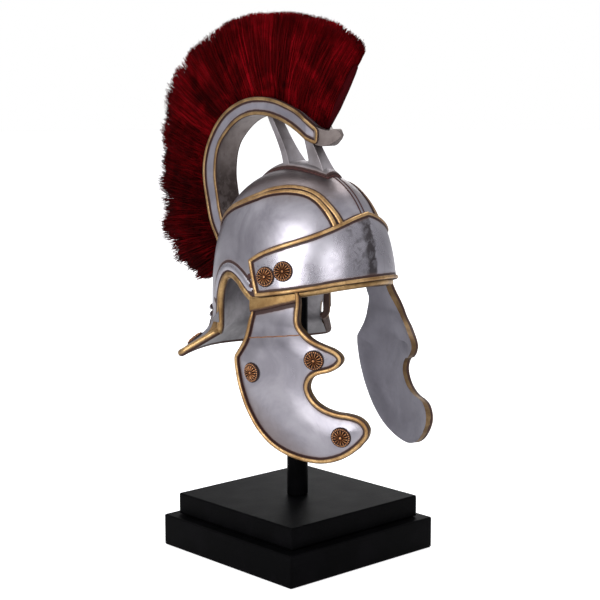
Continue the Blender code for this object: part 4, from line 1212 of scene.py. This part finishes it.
leaf_hollow = silver_leaf("dull silver, crest holder", (0.25, 0.215, 0.205), (0.13, 0.105, 0.098),
                          (0.055, 0.040, 0.036), 0.42, 0.30, 0.0, tarnish_and_painted_shade=hollow_low_darkening)
gold_trim = gilt("antique gold, crest holder", (0.42, 0.275, 0.13), (0.21, 0.125, 0.055),
                 (0.040, 0.014, 0.009), 0.42)
trim_lines = []
for side, sign in (("right", -1), ("left", 1)):
    path = np.column_stack([sign * (holder_half(border[:, 0]) + 0.0002), border])
    trim = moulding(path, (sign, 0.0, 0.0), round_bar(TRIM_RADIUS, 0.75))
    fit(shade(trim, 80.0), f"crest_border_{side}", "gold", [f"crest_trim_{side}"], gold_trim)
    trim_lines.append((path, TRIM_RADIUS - 0.00005))
stain(holder, trim_lines)
dress(holder, leaf_holder, leaf_hollow)
inner_tree = tree_of(inner_pts)
for face in holder.data.polygons:
    on_hollow = inner_tree.find((0.0, *face.center.yz))[2] < 0.0008 and abs(face.normal.x) < 0.6
    face.material_index = 1 if on_hollow or face.center.y < LIP_FROM else 0
fit(shade(holder, 40.0), "crest_holder_silver", "silver", ["crest_holder"])

# Plume. Crimson bristle stands out from the holder in locks, short and ragged at the back, smooth
# over the top and long at the front. The bristles are thin tapered hairs round a dark core, whose dark
# red is painted shade deep inside the plume.
PLUME_FROM = 0.045
PLUME_TO = 0.935
PLUME_SEED = 11
# Where the bristles end in the side view, from the rear foot to the front: back and up.
PLUME = [
    (0.865, 0.198), (0.995, 0.280), (1.110, 0.360), (1.140, 0.498), (1.152, 0.628), (1.165, 0.749),
    (1.150, 0.876), (1.140, 0.984), (1.138, 1.090), (1.118, 1.196), (1.075, 1.322), (1.020, 1.424),
    (0.915, 1.524), (0.800, 1.596), (0.662, 1.658), (0.528, 1.712), (0.390, 1.742), (0.236, 1.757),
    (0.042, 1.752), (-0.119, 1.727), (-0.262, 1.690), (-0.388, 1.636), (-0.482, 1.585), (-0.517, 1.538),
]
HAIRS = 8200
PLUME_PARTS = (("rear", 0.0, 0.36), ("top", 0.36, 0.68), ("front", 0.68, 1.0))
HAIR_RADIUS = 0.00029
HAIR_STATIONS = np.array([0.0, 0.35, 0.72, 1.0])
HAIR_THICKNESS = np.array([1.0, 1.0, 0.95, 0.30])
ROOT_HALF = 0.0062
TIP_HALF = 0.0080
CORE_WIDTH = 0.66
CORE_REACH = 0.80
LOCK_COUNT = 74
TUFT_COUNT = 520
tip_line = smooth_line(PLUME, 8) * UNIT + (0.0, FOOT)
tip_shares = np.linspace(0.0, 1.0, len(tip_line))

hair = Finish("crimson bristle")
hair_tint_and_rear_shade = hair.painted("tint")
hair_reach = hair.painted("reach")
hair_grain = hair.speckle(900.0, 3.0)
hair_cloud = hair.step(hair.speckle(70.0, 3.0, 0.55, bend=0.8), 0.34, 0.68)
# The tone mixes the hair's own tint with painted shade: the rear bristles are darker, and each bristle is
# darker at its root than at its tip.
hair_tone_and_shade = hair_tint_and_rear_shade * 0.60 + hair_reach * 0.16 + hair_grain * 0.08 + hair_cloud * 0.34 - 0.17
hair_reds = [
    (0.0, (0.022, 0.0002, 0.0006)), (0.35, (0.075, 0.0006, 0.0016)), (0.65, (0.170, 0.0014, 0.0040)),
    (1.0, (0.380, 0.0040, 0.0110)),
]
hair_base = hair.node("ValToRGB", 0, {"stops": hair_reds}, {"Fac": hair_tone_and_shade})
hair.coat(Base_Color=hair_base, Roughness=0.6 + hair_grain * 0.2, Specular_IOR_Level=0.02)
# The core's dark red is painted shade: it stands for the hair in shade deep inside the plume.
core_shade = Finish("bristle roots")
core_shade_cloud = core_shade.speckle(300.0, 4.0, 0.6, core_shade.stretched(1.0, 0.3, 0.3))
core_shade_base = core_shade.mix(core_shade_cloud, (0.020, 0.0006, 0.0015), (0.050, 0.001, 0.0026))
core_shade.coat(Base_Color=core_shade_base, Roughness=0.9, Specular_IOR_Level=0.05)

choose(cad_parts["plume"])
bpy.ops.object.duplicate()
core = bpy.context.object
core.data = core.data.copy()
core.data.materials.clear()
edit(core, ("remove_doubles", {"threshold": 0.00001}), ("tris_convert_to_quads", {}))
root_tree = tree_of(outer_line)
for point in core.data.vertices:
    root = root_tree.find((0.0, *point.co.yz))[0]
    away = Vector((0.0, point.co.y - root.y, point.co.z - root.z))
    point.co = Vector((point.co.x * CORE_WIDTH, root.y, root.z)) + away * CORE_REACH
fit(shade(core, 60.0), "plume_core", "hair", ["plume"], core_shade)

random = np.random.default_rng(PLUME_SEED)
lock_at = np.sort(random.uniform(0.0, 1.0, LOCK_COUNT))
lock_side = random.uniform(-1.0, 1.0, LOCK_COUNT)
lock_lean = random.normal(0.0, 0.012, LOCK_COUNT)
lock_long = random.normal(1.0, 0.020, LOCK_COUNT)
lock_tint = random.uniform(0.0, 1.0, LOCK_COUNT)
tuft_at = np.sort(random.uniform(0.0, 1.0, TUFT_COUNT))
tuft_side = random.uniform(-1.0, 1.0, TUFT_COUNT)
tuft_long = random.normal(0.0, 1.0, TUFT_COUNT)
tuft_lean = random.normal(0.0, 1.0, TUFT_COUNT)
for part, part_from, part_to in PLUME_PARTS:
    # Each bristle starts at its place along the holder and across it, and leans with its lock and tuft.
    at = random.uniform(part_from, part_to, HAIRS)
    side = random.uniform(-1.0, 1.0, HAIRS)
    side = np.sign(side) * np.abs(side) ** 0.75
    rear = 1 - ease(at, 0.18, 0.66)
    lock = (np.abs(at[:, None] - lock_at) * 60 + np.abs(side[:, None] - lock_side) * 0.8).argmin(axis=1)
    tuft = (np.abs(at[:, None] - tuft_at) * 160 + np.abs(side[:, None] - tuft_side) * 1.0).argmin(axis=1)
    clump = 0.42 + 0.28 * rear
    lean = lock_lean[lock] * (0.25 + rear) + tuft_lean[tuft] * (0.003 + 0.008 * rear)
    tip_at = np.clip(at + (tuft_at[tuft] - at) * clump + lean + random.normal(0, 0.006, HAIRS), -0.02, 1.005)
    root = along_line(outer_line, PLUME_FROM + (PLUME_TO - PLUME_FROM) * at)
    tip = np.stack([np.interp(tip_at, tip_shares, tip_line[:, axis]) for axis in range(2)], 1)

    # Its length, ragged at the rear, with almost a third of the bristles cut short.
    long = lock_long[lock] ** (0.3 + rear) * random.uniform(0.970, 1.004, HAIRS)
    long = long + tuft_long[tuft] * (0.006 + 0.036 * rear)
    long = np.minimum(long - 0.05 * rear * random.random(HAIRS) ** 2, 1.045)
    short = random.random(HAIRS) < 0.30
    long = np.where(short, long * random.uniform(0.45, 0.95, HAIRS), long)

    # Its middle line, through four stations.
    narrow = np.minimum(1.0, np.minimum(0.34 + 0.66 * (1 - at) / 0.13, 0.6 + 0.4 * at / 0.06))
    half_root = ROOT_HALF * np.minimum(1.0, holder_half(root[:, 0]) / HOLDER_HALF) * narrow
    half_tip = TIP_HALF * narrow
    bend = random.normal(0.0, 0.0014, (HAIRS, 3)) * (0.6 + rear[:, None])
    radius = HAIR_RADIUS * random.uniform(0.7, 1.35, HAIRS)
    centre = np.empty((HAIRS, 4, 3))
    for number, share in enumerate(HAIR_STATIONS):
        x = side * (half_root + (half_tip - half_root) * math.sin(share * math.pi / 2))
        centre[:, number, 0] = x + (tuft_side[tuft] - side) * half_tip * clump * 0.35 * share ** 2
        centre[:, number, 1:] = root + (tip - root) * (share * long)[:, None]
        centre[:, number] += bend * math.sin(share * math.pi * 0.9)
        centre[:, number, 1] += 0.0030 * ease(at, 0.70, 1.0) * math.sin(math.pi * share)
    centre[:, 3, 2] -= rear * 0.0012
    centre[:, 0, 1:] -= unit(tip - root) * 0.0008

    # Three corners round it at each station, and a face at each end.
    along = unit(centre[:, -1] - centre[:, 0])
    sideways = unit(np.cross(along, np.array((1.0, 0.15, 0.1))))
    other = np.cross(along, sideways)
    spin = random.uniform(0.0, 2 * math.pi, HAIRS)
    corners = np.empty((HAIRS, 4, 3, 3))
    for corner in range(3):
        turn = spin + corner * 2 * math.pi / 3
        ray = sideways * np.cos(turn)[:, None] + other * np.sin(turn)[:, None]
        corners[:, :, corner] = centre + ray[:, None] * (radius[:, None] * HAIR_THICKNESS)[..., None]
    first = (np.arange(HAIRS) * 12)[:, None]
    sides = [(level * 3 + corner, level * 3 + (corner + 1) % 3) for level in range(3) for corner in range(3)]
    faces = np.stack([first + np.array([a, b, b + 3, a + 3]) for a, b in sides], 1).reshape(-1, 4)
    caps = np.stack([first + np.array([2, 1, 0]), first + np.array([9, 10, 11])], 1).reshape(-1, 3)
    mesh = bpy.data.meshes.new(f"plume_{part}")
    mesh.from_pydata(corners.reshape(-1, 3).tolist(), [], faces.tolist() + caps.tolist())
    # Each bristle's tint varies by lock and at random, and the rear bristles are darkened as painted shade.
    tint = lock_tint[lock] * 0.35 + random.uniform(0.0, 1.0, HAIRS) ** 1.4 * 0.62 + 0.02 - 0.40 * rear
    mark_points(mesh, "tint", np.repeat(np.clip(tint, 0.0, 1.0), 12))
    mark_points(mesh, "reach", np.tile(np.repeat(HAIR_STATIONS, 3), HAIRS))
    mesh.update()
    piece = bpy.data.objects.new(f"plume_{part}", mesh)
    bpy.context.scene.collection.objects.link(piece)
    fit(shade(piece, 180.0), f"plume_{part}", "hair", [], hair)
